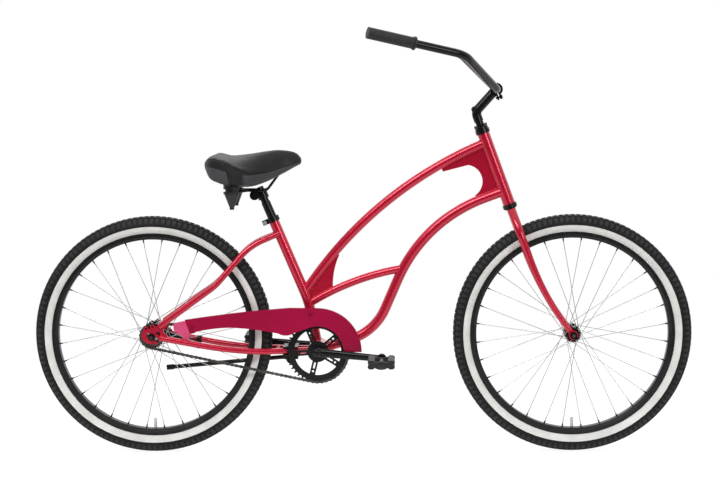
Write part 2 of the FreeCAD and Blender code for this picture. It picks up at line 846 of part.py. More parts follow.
def rear_ends(tubes):
    """Seat stays, chain stays and dropout plates of each side, and the bridge between the stays."""
    slot_radius = cell.axle_radius + cell.axle_slot_gap
    slot_turn = math.radians(mm.slot_angle)
    slot_out = Vector(math.cos(slot_turn), 0, -math.sin(slot_turn))
    chain_stays = []
    for side, sign in SIDES:
        inner = sign * mm.rear_dropout_width / 2
        face = inner if sign < 0 else inner + mm.dropout_thickness
        reach = cell.dropout_reach
        eyelets = [(reach * across, reach * up, cell.eyelet_bore) for across, up in EYELET_SHARES]
        blank = plate(f"dropout_blank_{side}",
                      [scaled(reach, DROPOUT_SHARES), scaled(reach, DROPOUT_WINDOW_SHARES)] + eyelets,
                      cell.dropout_thickness, from_rear(0, 0, face))
        slot_end = from_rear(0, 0, inner + sign * mm.dropout_thickness / 2) - slot_out * mm.slot_back
        drill = cross_bar(f"slot_end_{side}", slot_radius, cell.dropout_thickness + cell.overrun, slot_end)
        mouth = box(f"slot_mouth_{side}", cell.dropout_thickness + cell.overrun, slot_radius * 2,
                    cell.dropout_reach, slot_end, slot_out, ACROSS)
        dropout = node(f"dropout_{side}", cut(blank, drill, mouth))

        seat_points = [
            seat_top - SEAT_UP * mm.seat_stay_drop + ACROSS * (sign * mm.seat_stay_side),
            from_rear(mm.seat_stay_upper_ahead, mm.seat_stay_upper_height, sign * mm.seat_stay_upper_side),
            from_rear(mm.seat_stay_lower_ahead, mm.seat_stay_lower_height, sign * mm.seat_stay_lower_side),
            from_rear(mm.stay_end_ahead, mm.seat_stay_end_height, sign * mm.stay_end_side)]
        seat_bends = [mm.seat_stay_upper_bend, mm.seat_stay_lower_bend]
        chain_points = [
            bracket + ACROSS * (sign * mm.chain_stay_root_side),
            from_rear(mm.chain_stay_corner_ahead, -mm.chain_stay_corner_drop,
                      sign * mm.chain_stay_corner_side),
            from_rear(mm.stay_end_ahead, -mm.chain_stay_end_drop, sign * mm.stay_end_side)]
        outsides = {}
        for name, points, bends in (("seat_stay", seat_points, seat_bends),
                                    ("chain_stay", chain_points, [mm.chain_stay_bend])):
            line = path(f"{name}_path_{side}", points, bends)
            tip = (points[-2] - points[-1]).normalize() * mm.stay_tip
            bore_line = path(f"{name}_bore_path_{side}", points[:-1] + [points[-1] + tip], bends)
            bar = rod(f"{name}_bar_{side}", line, cell.stay_radius)
            outsides[name] = bar
            bore = rod(f"{name}_bore_{side}", bore_line, cell.stay_radius - cell.tube_wall)
            stay = cut(bar, bore, tubes.seat if name == "seat_stay" else tubes.shell, dropout)
            node(f"{name}_{side}", stay)
        chain_stays.append(outsides["chain_stay"])
    share = (mm.bridge_ahead - mm.chain_stay_corner_ahead) / (bracket_reach - mm.chain_stay_corner_ahead)
    side = mm.chain_stay_corner_side + (mm.chain_stay_root_side - mm.chain_stay_corner_side) * share
    drop = mm.chain_stay_corner_drop + (mm.bracket_drop - mm.chain_stay_corner_drop) * share
    width = Size(side * 2, repr(side * 2))
    bar = cross_bar("bridge_bar", cell.bridge_radius, width, from_rear(mm.bridge_ahead, -drop))
    node("stay_bridge", cut(bar, *chain_stays))
    return chain_stays


# Bearings that stay in the frame


def head_bearings():
    """Pressed cups, loose balls, races, lock washer and locknut of the headset."""
    pitch = (mm.steerer_radius + mm.cup_skirt_bore) / 2
    race_start = cell.cup_floor + (cell.head_ball_radius + cell.fit_gap) * 2
    ball_place = mm.cup_floor + mm.head_ball_radius + mm.fit_gap
    insert_radius = cell.head_radius - cell.head_wall
    cups = []
    balls = []
    for end, foot, along in (("lower", head_foot, -STEER_UP), ("upper", head_top, STEER_UP)):
        cups.append(turned(f"{end}_head_cup", [
            (cell.cup_bore, -cell.cup_insert), (insert_radius, -cell.cup_insert), (insert_radius, 0),
            (cell.cup_radius, 0), (cell.cup_radius, cell.cup_skirt), (cell.cup_skirt_bore, cell.cup_skirt),
            (cell.cup_skirt_bore, cell.cup_floor), (cell.cup_bore, cell.cup_floor)], steer(foot), along))
        balls.append(ball_ring(f"{end}_head_balls", HEAD_BALLS, pitch, mm.head_ball_radius,
                               steer(foot) + along * ball_place, along))
    crown_race = ring("crown_race", cell.steerer_radius, cell.race_radius, race_start, cell.cup_height,
                      steer(head_foot), -STEER_UP)
    step = race_start + cell.race_height - cell.race_cap_height
    cap_top = race_start + cell.race_height
    upper_race = turned("upper_race", [
        (cell.steerer_radius, race_start), (cell.race_radius, race_start), (cell.race_radius, step),
        (cell.race_cap_radius, step), (cell.race_cap_radius, cap_top), (cell.steerer_radius, cap_top)],
        steer(head_top), STEER_UP)
    washer = ring("head_lock_washer", cell.steerer_radius, cell.race_radius, cap_top,
                  cap_top + cell.lock_washer_height, steer(head_top), STEER_UP)
    nut_foot = locknut_top - mm.locknut_height
    nut = hexagon("head_locknut_blank", cell.locknut_radius, cell.locknut_height, steer(nut_foot), STEER_UP)
    nut_bore = cylinder("head_locknut_bore", cell.steerer_radius, cell.locknut_height + cell.overrun * 2,
                        steer(nut_foot - mm.overrun), STEER_UP)
    node("headset_races", crown_race, upper_race, washer, cut(nut, nut_bore))
    return cups, balls


def bracket_bearings():
    """Pressed bracket cups and their balls; the cones turn with the crank."""
    floor = cell.bracket_cup_depth - cell.bracket_cup_floor
    ball_place = floor.number - mm.fit_gap - mm.bracket_ball_radius
    pitch = mm.bracket_cup_bore - mm.fit_gap - mm.bracket_ball_radius
    cups = []
    balls = []
    for side, sign in SIDES:
        end = bracket + ACROSS * (sign * mm.shell_length / 2)
        inward = ACROSS * -sign
        cups.append(turned(f"bracket_cup_{side}", [
            (cell.bracket_cup_bore, -cell.bracket_cup_rim), (cell.shell_radius, -cell.bracket_cup_rim),
            (cell.shell_radius, 0), (cell.shell_bore, 0), (cell.shell_bore, cell.bracket_cup_depth),
            (cell.bracket_cup_lip, cell.bracket_cup_depth), (cell.bracket_cup_lip, floor),
            (cell.bracket_cup_bore, floor)], end, inward))
        balls.append(ball_ring(f"bracket_balls_{side}", BRACKET_BALLS, pitch, mm.bracket_ball_radius,
                               end + inward * ball_place, inward))
    return cups, balls


def frame_bearings():
    head_cups, head_balls = head_bearings()
    bracket_cups, bracket_balls = bracket_bearings()
    node("bearing_cups", *head_cups, *bracket_cups)
    node("frame_balls", *head_balls, *bracket_balls)


# Fork and front axle


def fork():
    steerer_foot = mm.crown_height - mm.steerer_tail
    length = Size(locknut_top - steerer_foot, repr(locknut_top - steerer_foot))
    outside = cylinder("steerer_outside", cell.steerer_radius, length, steer(steerer_foot), STEER_UP)
    bore = cylinder("steerer_bore", cell.steerer_radius - cell.steerer_wall, length + cell.overrun * 2,
                    steer(steerer_foot - mm.overrun), STEER_UP)
    node("fork_steerer", cut(outside, bore))
    above = cylinder("above_crown", cell.head_radius * 3, cell.head_length, steer(mm.crown_height), STEER_UP)
    slot_radius = cell.axle_radius + cell.axle_slot_gap
    for side, sign in SIDES:
        shoulder = mm.crown_height - mm.blade_shoulder_drop
        corner = steer(mm.blade_curve_height, 0, sign * mm.blade_side)
        axle = front_axle + ACROSS * (sign * mm.blade_side)
        tip_way = (corner - axle).normalize()
        line = path(f"blade_path_{side}", [
            steer(mm.crown_height, 0, sign * mm.blade_root_side), steer(shoulder, 0, sign * mm.blade_side),
            corner, axle + tip_way * mm.blade_tip_gap], [mm.blade_shoulder_bend, mm.blade_curve_bend])
        blade = rod(f"blade_bar_{side}", line, cell.blade_radius, cell.blade_tip_radius)
        far_side = box(f"blade_far_side_{side}", cell.head_radius * 6, cell.head_length, cell.head_radius * 3,
                       steer(mm.crown_height), ACROSS * -sign, STEER_FRONT)
        blade = cut(blade, outside, above, far_side)
        inner = sign * mm.front_dropout_width / 2
        disc = cylinder(f"fork_end_disc_{side}", cell.fork_end_radius, cell.fork_end_thickness,
                        front_axle + ACROSS * inner, ACROSS * sign)
        middle = front_axle + ACROSS * (inner + sign * mm.fork_end_thickness / 2)
        tab = box(f"fork_end_tab_{side}", cell.fork_end_thickness, cell.blade_tip_radius * 2,
                  cell.fork_end_length, middle, tip_way, ACROSS)
        end = fuse(f"fork_end_{side}", disc, tab, blade)
        drill = cross_bar(f"fork_slot_end_{side}", slot_radius, cell.fork_end_thickness + cell.overrun,
                          middle)
        mouth = box(f"fork_slot_mouth_{side}", cell.fork_end_thickness + cell.overrun, slot_radius * 2,
                    cell.fork_end_radius * 2, middle, -tip_way, ACROSS)
        node(f"fork_blade_{side}", cut(end, drill, mouth))


def axle_nuts(name, centre, face):
    """A washer and a hexagon nut outside each dropout."""
    pieces = []
    for side, sign in SIDES:
        out = ACROSS * sign
        foot = centre + out * face
        pieces.append(ring(f"{name}_washer_{side}", cell.axle_radius, cell.axle_washer_radius, as_size(0),
                           cell.axle_washer_height, foot, out))
        foot = foot + out * mm.axle_washer_height
        nut = hexagon(f"{name}_nut_blank_{side}", cell.axle_nut_radius, cell.axle_nut_height, foot, out)
        bore = cylinder(f"{name}_nut_bore_{side}", cell.axle_radius, cell.axle_nut_height + cell.overrun * 2,
                        foot - out * mm.overrun, out)
        pieces.append(cut(nut, bore))
    node(f"{name}_axle_nuts", *pieces)


def front_axle_set():
    """Axle with a cone and locknut at each end, held in the fork."""
    pieces = [cross_bar("front_axle_bar", cell.axle_radius, cell.front_axle_half * 2, front_axle)]
    inner = cell.front_hub_half - cell.front_pocket_depth + cell.run_gap
    lock = cell.front_dropout_width / 2 - cell.front_lock_width
    face = cell.front_dropout_width / 2
    for side, sign in SIDES:
        pieces.append(turned(f"front_cone_{side}", [
            (cell.axle_radius, inner), (cell.front_cone_radius, inner), (cell.front_cone_radius, lock),
            (cell.front_lock_radius, lock), (cell.front_lock_radius, face), (cell.axle_radius, face)],
            front_axle, ACROSS * sign))
    node("front_axle", *pieces)
    axle_nuts("front", front_axle, mm.front_dropout_width / 2 + mm.fork_end_thickness)


# Wheels


def wheel_values(name):
    return SimpleNamespace(**{
        key: getattr(cell, f"{name}_{key}") for key in (
            "flange_radius", "flange_side", "flange_thickness", "hole_circle", "barrel_radius", "end_radius",
            "hub_half", "bore", "pocket_radius", "pocket_depth", "ball_radius")})


def tyre(name, centre):
    """A hollow tyre open at its beads, and the inner tube with its valve."""
    core = cell.tyre_radius - cell.tyre_section

    def torus(label, radius):
        item = doc.addObject("Part::Torus", f"{name}_{label}")
        bind(item, Radius1=core, Radius2=radius)
        item.Placement = placed(centre, ACROSS)
        return item

    well = cross_bar(f"{name}_bead_well", cell.tyre_bead_radius, cell.tyre_section * 3, centre)
    carcass = cut(torus("tyre_outside", cell.tyre_section),
                  torus("tyre_inside", cell.tyre_section - cell.tyre_wall), well)
    node(f"{name}_tyre", carcass)
    tube_radius = cell.tyre_section - cell.tyre_wall - cell.tube_gap
    valve_place = mm.tyre_radius - mm.tyre_section - tube_radius.number + mm.tube_skin / 2
    valve = cylinder(f"{name}_valve", cell.valve_radius, cell.valve_length, centre - UP * valve_place, UP)
    bag = fuse(f"{name}_tube_bag", torus("tube_outside", tube_radius), valve)
    node(f"{name}_tube", cut(bag, torus("tube_inside", tube_radius - cell.tube_skin)))


def spoke_lines(hub):
    """Head, elbow and rim points of every spoke about the wheel's centre, alternating between the flanges."""
    lines = []
    lace = math.radians(mm.spoke_lace_angle)
    half = hub.flange_thickness.number / 2
    for index in range(SPOKE_COUNT):
        side = 1 if index % 2 else -1
        outside = 1 if index // 2 % 2 else -1
        rim_turn = math.tau * (index + 0.5) / SPOKE_COUNT
        hub_turn = rim_turn + outside * lace
        flange = side * hub.flange_side.number
        hole = Vector(math.cos(hub_turn), 0, math.sin(hub_turn)) * hub.hole_circle.number
        way = ACROSS * (side * outside)
        head = hole + ACROSS * flange - way * half
        elbow = hole + ACROSS * flange + way * (half + mm.spoke_elbow)
        bed = Vector(math.cos(rim_turn), 0, math.sin(rim_turn)) * mm.rim_bed_radius
        lines.append((head, elbow, bed + ACROSS * (side * mm.spoke_stagger), way))
    return lines


def spoke_set(name, centre, hub):
    """Bent spokes with flat heads and their nipples, and the drills that they need."""
    pieces = []
    rim_drills = []
    hub_drills = []
    for head, elbow, bed, way in spoke_lines(hub):
        along = (bed - elbow).normalize()
        tip = bed + along * mm.nipple_seat
        wire = Part.Wire(rounded_edges([head, elbow, tip], [mm.spoke_bend]))
        section = Part.Wire([Part.Circle(head, way, mm.spoke_radius).toShape()])
        shank = wire.makePipeShell([section], True, False)
        cap = Part.makeCylinder(mm.spoke_head_radius, mm.spoke_head_height, head, -way)
        pieces.append(shank.fuse(cap).removeSplitter().Solids[0])
        foot = tip - along * mm.nipple_length
        nipple = Part.makeCylinder(mm.nipple_radius, mm.nipple_length, foot, along)
        top = Part.makeCylinder(mm.nipple_head_radius, mm.nipple_head_height, tip, along)
        bore = Part.makeCylinder(mm.spoke_radius + mm.fit_gap, mm.nipple_length, foot, along)
        pieces.append(nipple.fuse(top).cut(bore).Solids[0])
        rim_drills.append(Part.makeCylinder(mm.nipple_radius + mm.run_gap, mm.nipple_length * 2,
                                            bed - along * mm.nipple_length, along))
        hub_drills.append(Part.makeCylinder(mm.spoke_radius + mm.fit_gap,
                                            hub.flange_thickness.number + mm.overrun,
                                            head - way * (mm.overrun / 2), way))
    spot = placed(centre, UP)
    node(f"{name}_spokes", feature(f"{name}_spoke_set", Part.makeCompound(pieces), spot))
    return [feature(f"{name}_{place}_drills", Part.makeCompound(drills), spot)
            for place, drills in (("rim", rim_drills), ("hub", hub_drills))]


def rim(name, centre, drills):
    lip = cell.rim_half_width - cell.rim_wall
    slope = cell.rim_shoulder_radius + cell.rim_wall
    floor = cell.rim_bed_radius + cell.rim_bed_wall
    half = [(cell.rim_edge_radius, lip), (cell.rim_edge_radius, cell.rim_half_width),
            (cell.rim_shoulder_radius, cell.rim_half_width), (cell.rim_bed_radius, cell.rim_bed_half_width)]
    back = [(floor, cell.rim_bed_half_width - cell.fit_gap), (slope, lip)]
    outline = half + [(radius, -place) for radius, place in reversed(half)]
    outline += [(radius, -place) for radius, place in reversed(back)] + back
    hoop = turned(f"{name}_rim_hoop", outline, centre, ACROSS)
    valve_hole = cylinder(f"{name}_valve_hole", cell.valve_radius + cell.run_gap, cell.rim_edge_radius,
                          centre, -UP)
    node(f"{name}_rim", cut(hoop, drills, valve_hole))


def hub_shell(name, centre, hub, drills):
    """A flanged shell with a bearing pocket and balls at each end."""
    inner = hub.flange_side - hub.flange_thickness / 2
    outer = hub.flange_side + hub.flange_thickness / 2
    floor = hub.hub_half - hub.pocket_depth
    half = [(hub.bore, floor), (hub.pocket_radius, floor), (hub.pocket_radius, hub.hub_half),
            (hub.end_radius, hub.hub_half), (hub.end_radius, outer), (hub.flange_radius, outer),
            (hub.flange_radius, inner), (hub.barrel_radius, inner)]
    outline = half + [(radius, -place) for radius, place in reversed(half)]
    shell = cut(turned(f"{name}_hub_turning", outline, centre, ACROSS), drills)
    balls = []
    for side, sign in SIDES:
        place = floor.number + mm.fit_gap + hub.ball_radius.number
        pitch = hub.pocket_radius.number - mm.fit_gap - hub.ball_radius.number
        count = FRONT_BALLS if name == "front" else REAR_BALLS
        balls.append(ball_ring(f"{name}_hub_balls_{side}", count, pitch, hub.ball_radius.number,
                               centre + ACROSS * (sign * place), ACROSS))
    node(f"{name}_hub", shell, *balls)


def wheels():
    for name, centre in zip(WHEELS, (front_axle, rear_axle)):
        hub = wheel_values(name)
        tyre(name, centre)
        rim_drills, hub_drills = spoke_set(name, centre, hub)
        rim(name, centre, rim_drills)
        hub_shell(name, centre, hub, hub_drills)


# Rear axle with the coaster brake, sprocket and driver


def rear_axle_set():
    """Axle, right cone, left anchor cone with its dust cover, brake expander and two brake shoes."""
    face = cell.rear_dropout_width / 2
    pieces = [cross_bar("rear_axle_bar", cell.axle_radius, cell.rear_axle_half * 2, rear_axle)]
    pieces.append(ring("rear_right_cone", cell.axle_radius, cell.axle_nut_radius,
                       cell.driver_end_side + cell.run_gap, face, rear_axle, -ACROSS))
    floor = cell.rear_hub_half - cell.rear_pocket_depth + cell.run_gap
    anchor = cell.rear_pocket_radius - (cell.rear_ball_radius + cell.fit_gap) * 2
    cover = cell.brake_arm_side - cell.cover_thickness
    arm_end = cell.brake_arm_side + cell.brake_arm_thickness
    pieces.append(turned("rear_anchor_cone", [
        (cell.axle_radius, floor), (anchor, floor), (anchor, cover), (cell.cover_radius, cover),
        (cell.cover_radius, cell.brake_arm_side), (cell.axle_radius, cell.brake_arm_side)],
        rear_axle, ACROSS))
    pieces.append(ring("rear_left_locknut", cell.axle_radius, cell.driver_radius, arm_end, face,
                       rear_axle, ACROSS))
    start = cell.shoe_shift - cell.shoe_half_length
    end = cell.shoe_shift + cell.shoe_half_length
    pieces.append(ring("brake_expander", cell.axle_radius, cell.expander_radius, start, end,
                       rear_axle, ACROSS))
    shoe_bore = cell.expander_radius + cell.shoe_gap
    shoe_radius = cell.rear_bore - cell.shoe_gap
    sleeve = ring("brake_shoe_sleeve", shoe_bore, shoe_radius, start, end, rear_axle, ACROSS)
    gap = cell.shoe_gap * 4
    saw = box("brake_shoe_saw", cell.rear_bore * 3, gap, cell.shoe_half_length * 4,
              rear_axle - ACROSS * (mm.shoe_half_length * 2), ACROSS, AHEAD)
    pieces.append(cut(sleeve, saw))
    node("rear_axle", *pieces)
    axle_nuts("rear", rear_axle, mm.rear_dropout_width / 2 + mm.dropout_thickness)


def pitch_radius(teeth):
    return mm.chain_pitch / (2 * math.sin(math.pi / teeth))


def tooth_outline(teeth, first_turn):
    """Round tooth gaps joined by flanks to flat tips, with a gap at the first turn."""
    radius = pitch_radius(teeth)
    seat = mm.roller_radius + mm.roller_gap
    step = math.tau / teeth
    edges = []
    for index in range(teeth):
        turn = first_turn + index * step
        out = Vector(math.cos(turn), 0, math.sin(turn))
        aside = Vector(-math.sin(turn), 0, math.cos(turn))
        tip_turn = turn + step / 2
        tip_out = Vector(math.cos(tip_turn), 0, math.sin(tip_turn))
        tip_aside = Vector(-math.sin(tip_turn), 0, math.cos(tip_turn))
        next_out = Vector(math.cos(turn + step), 0, math.sin(turn + step))
        next_aside = Vector(-math.sin(turn + step), 0, math.cos(turn + step))
        leave = out * radius + aside * seat
        first_tip = tip_out * (radius + mm.tooth_rise) - tip_aside * mm.tooth_tip
        last_tip = tip_out * (radius + mm.tooth_rise) + tip_aside * mm.tooth_tip
        following = next_out * radius - next_aside * seat
        edges.append(Part.Arc(out * radius - aside * seat, out * (radius - seat), leave).toShape())
        edges.append(Part.LineSegment(leave, first_tip).toShape())
        edges.append(Part.LineSegment(first_tip, last_tip).toShape())
        edges.append(Part.LineSegment(last_tip, following).toShape())
    return Part.Wire(edges)


def toothed_blank(name, teeth, centre, gap_way):
    first_turn = math.atan2(gap_way.z, gap_way.x)
    face = Part.Face(tooth_outline(teeth, first_turn))
    blank = face.extrude(ACROSS * mm.sprocket_thickness)
    spot = centre - ACROSS * (mm.chain_line + mm.sprocket_thickness / 2)
    return feature(name, blank, placed(spot, UP))


def rear_drive():
    """Sprocket on the driver that turns on the rear axle."""
    blank = toothed_blank("sprocket_blank", SPROCKET_TEETH, rear_axle, CHAIN_WAY)
    bore = cross_bar("sprocket_bore", cell.driver_seat_radius, cell.chain_line * 4, rear_axle)
    node("rear_sprocket", cut(blank, bore))
    start = cell.rear_hub_half - cell.rear_pocket_depth + cell.run_gap
    seat = cell.chain_line - cell.sprocket_thickness / 2
    bore = cell.axle_radius + cell.run_gap
    driver_radius = cell.rear_pocket_radius - (cell.rear_ball_radius + cell.fit_gap) * 2
    node("hub_driver", turned("hub_driver", [
        (bore, start), (driver_radius, start), (driver_radius, cell.driver_shoulder_side),
        (cell.driver_shoulder_radius, cell.driver_shoulder_side), (cell.driver_shoulder_radius, seat),
        (cell.driver_seat_radius, seat), (cell.driver_seat_radius, cell.driver_end_side),
        (bore, cell.driver_end_side)], rear_axle, -ACROSS))


# Crank, chainring, chain and pedals


def crank():
    """One forged piece: spindle, two bent arms with pedal eyes, ring collar and drive pin."""
    parts = [cross_bar("crank_spindle", cell.spindle_radius, cell.elbow_side * 2, bracket)]
    holes = []
    for side, sign in SIDES:
        out = -sign
        elbow = bracket + ACROSS * (sign * mm.elbow_side)
        parts.append(sphere(f"crank_elbow_{side}", cell.elbow_radius, elbow))
        sections = []
        for share, offset, height, width in (
                (0, mm.elbow_side, cell.arm_root_height, cell.arm_root_width),
                (ARM_MID_SHARE, mm.arm_mid_side, cell.arm_mid_height, cell.arm_mid_width),
                (1, mm.arm_tip_side, cell.arm_tip_height, cell.arm_tip_width)):
            section = doc.addObject("Part::Ellipse", f"crank_section_{side}")
            bind(section, MajorRadius=height, MinorRadius=width)
            centre = bracket + CRANK_WAY * (out * share * mm.crank_length) + ACROSS * (sign * offset)
            section.Placement = placed(centre, CRANK_WAY * out, CRANK_RISE)
            sections.append(section)
        parts.append(loft(f"crank_arm_{side}", sections))
        tip = bracket + CRANK_WAY * (out * mm.crank_length) + ACROSS * (sign * mm.arm_tip_side)
        parts.append(cross_bar(f"pedal_eye_{side}", cell.eye_radius, cell.eye_width, tip))
        holes.append(cross_bar(f"pedal_hole_{side}", cell.pedal_thread_radius,
                               cell.eye_width + cell.overrun, tip))
    face = mm.chain_line + mm.sprocket_thickness / 2
    parts.append(cylinder("ring_collar", cell.ring_collar_radius, cell.ring_collar_width,
                          bracket - ACROSS * face, -ACROSS))
    parts.append(cylinder("drive_pin", cell.drive_pin_radius, cell.elbow_side - cell.chain_line
                          + cell.sprocket_thickness / 2,
                          bracket + CRANK_WAY * mm.drive_pin_place - ACROSS * mm.elbow_side, ACROSS))
    node("crank", cut(fuse("crank_forging", *parts), *holes))


def chainring():
    """Toothed ring on five slotted arms."""
    blank = toothed_blank("ring_blank", RING_TEETH, bracket, -CHAIN_WAY)
    depth = cell.chain_line * 4
    front = bracket - ACROSS * (mm.chain_line * 2)
    disc = cylinder("ring_window_disc", cell.ring_band_radius, cell.chain_line * 2, front, ACROSS)
    hub = cross_bar("ring_hub", cell.ring_hub_radius, depth, bracket)
    spokes = []
    holes = []
    for index in range(RING_ARMS):
        turn = math.tau * (index + RING_TURN_SHARE) / RING_ARMS
        out = Vector(math.cos(turn), 0, math.sin(turn))
        spokes.append(box(f"ring_arm_{index}", depth, cell.ring_arm_width, cell.ring_band_radius * 2, bracket,
                          out, ACROSS))
        holes.append(cross_bar(f"ring_hole_{index}", cell.ring_hole_radius, depth,
                               bracket + out * mm.ring_hole_place))
        ends = [cross_bar(f"ring_slot_{index}_{end}", cell.ring_slot_radius, depth, bracket + out * place)
                for end, place in (("in", mm.ring_slot_start), ("out", mm.ring_slot_end))]
        run = box(f"ring_slot_run_{index}", depth, cell.ring_slot_radius * 2,
                  cell.ring_slot_end - cell.ring_slot_start, bracket + out * mm.ring_slot_start, out, ACROSS)
        holes.append(fuse(f"ring_slot_{index}", *ends, run))
    windows = cut(disc, fuse("ring_spider", hub, *spokes))
    bore = cross_bar("ring_bore", cell.spindle_radius, depth, bracket)
    pin = cross_bar("ring_pin_hole", cell.drive_pin_radius, depth, bracket + CRANK_WAY * mm.drive_pin_place)
    node("chainring", cut(blank, windows, fuse("ring_drillings", bore, pin, *holes)))


def bracket_cones():
    """Cones that run on the bracket balls, with a lock washer and locknut on the left."""
    radius = cell.bracket_cup_bore - (cell.bracket_ball_radius + cell.fit_gap) * 2
    inner = cell.shell_length / 2 - cell.bracket_cup_depth + cell.bracket_cup_floor + cell.run_gap
    shell_end = cell.shell_length / 2
    ring_face = cell.chain_line - cell.sprocket_thickness / 2
    pieces = []
    for side, sign in SIDES:
        end = ring_face if sign < 0 else ring_face - cell.bracket_lock_width
        pieces.append(turned(f"bracket_cone_{side}", [
            (cell.spindle_radius, inner), (radius, inner), (radius, shell_end),
            (cell.bracket_cone_flange, shell_end), (cell.bracket_cone_flange, end),
            (cell.spindle_radius, end)], bracket, ACROSS * sign))
    foot = bracket + ACROSS * (mm.chain_line - mm.sprocket_thickness / 2 - mm.bracket_lock_width)
    nut = hexagon("bracket_locknut_blank", cell.bracket_lock_radius, cell.bracket_lock_width, foot, ACROSS)
    bore = cross_bar("bracket_locknut_bore", cell.spindle_radius, cell.shell_length * 2, bracket)
    node("bracket_cones", *pieces, cut(nut, bore))


def chain_joints():
    """Points of the chain's pins, evenly spaced round the ring and the sprocket."""
    big = pitch_radius(RING_TEETH)
    small = pitch_radius(SPROCKET_TEETH)
    lean = math.asin((big - small) / mm.axle_to_bracket)
    front_wrap = (math.pi / 2 + lean) * big
    run = math.sqrt(mm.axle_to_bracket ** 2 - (big - small) ** 2)
    rear_wrap = (math.pi / 2 - lean) * small
    half = front_wrap + run + rear_wrap
    links = 2 * round(half / mm.chain_pitch)
    joints = []
    for index in range(links):
        place = 2 * half * index / links
        up = 1 if place < half else -1
        place = place if place < half else 2 * half - place
        if place <= front_wrap:
            turn = place / big
            spot = bracket - CHAIN_WAY * (big * math.cos(turn)) + CHAIN_RISE * (up * big * math.sin(turn))
        elif place <= front_wrap + run:
            normal = CHAIN_RISE * (up * math.cos(lean)) + CHAIN_WAY * math.sin(lean)
            along = CHAIN_WAY * math.cos(lean) - CHAIN_RISE * (up * math.sin(lean))
            spot = bracket + normal * big + along * (place - front_wrap)
        else:
            turn = (half - place) / small
            out = CHAIN_WAY * math.cos(turn) + CHAIN_RISE * (up * math.sin(turn))
            spot = rear_axle + out * small
        joints.append(spot - ACROSS * mm.chain_line)
    return joints


def link_plate(side_place):
    """One figure-eight link plate, flat across the chain, centred between its two pins."""
    half = mm.chain_pitch / 2
    ends = [Part.makeCylinder(mm.link_height, mm.link_plate, Vector(place, side_place, 0), ACROSS)
            for place in (-half, half)]
    waist = Part.makeBox(mm.chain_pitch, mm.link_plate, mm.link_height * LINK_WAIST_SHARE * 2,
                         Vector(-half, side_place, -mm.link_height * LINK_WAIST_SHARE))
    return ends[0].fuse([ends[1], waist]).removeSplitter()


def chain():
    """Inner links with rollers and outer links with pins, alternating round the chain."""
    half = mm.chain_pitch / 2
    inner_half = mm.link_inner_half
    outer_half = inner_half + mm.link_plate + mm.link_plate_gap
    pin_half = outer_half + mm.link_plate + mm.link_pin_end
    inner = link_plate(inner_half).fuse([link_plate(-inner_half - mm.link_plate)])
    outer = link_plate(outer_half).fuse([link_plate(-outer_half - mm.link_plate)])
    for place in (-half, half):
        roller = Part.makeCylinder(mm.roller_radius, inner_half * 2, Vector(place, -inner_half, 0), ACROSS)
        hole = Part.makeCylinder(mm.link_pin_radius + mm.link_pin_gap, pin_half * 2,
                                 Vector(place, -pin_half, 0), ACROSS)
        pin = Part.makeCylinder(mm.link_pin_radius, pin_half * 2, Vector(place, -pin_half, 0), ACROSS)
        inner = inner.fuse(roller).cut(hole)
        outer = outer.fuse(pin)
    masters = [inner.removeSplitter().Solids[0], outer.removeSplitter().Solids[0]]
    joints = chain_joints()
    links = []
    for index, start in enumerate(joints):
        end = joints[(index + 1) % len(joints)]
        link = masters[index % 2].copy()
        link.Placement = placed((start + end) * 0.5, (end - start).cross(ACROSS), end - start)
        links.append(link)
    node("chain", feature("chain_links", Part.makeCompound(links)))


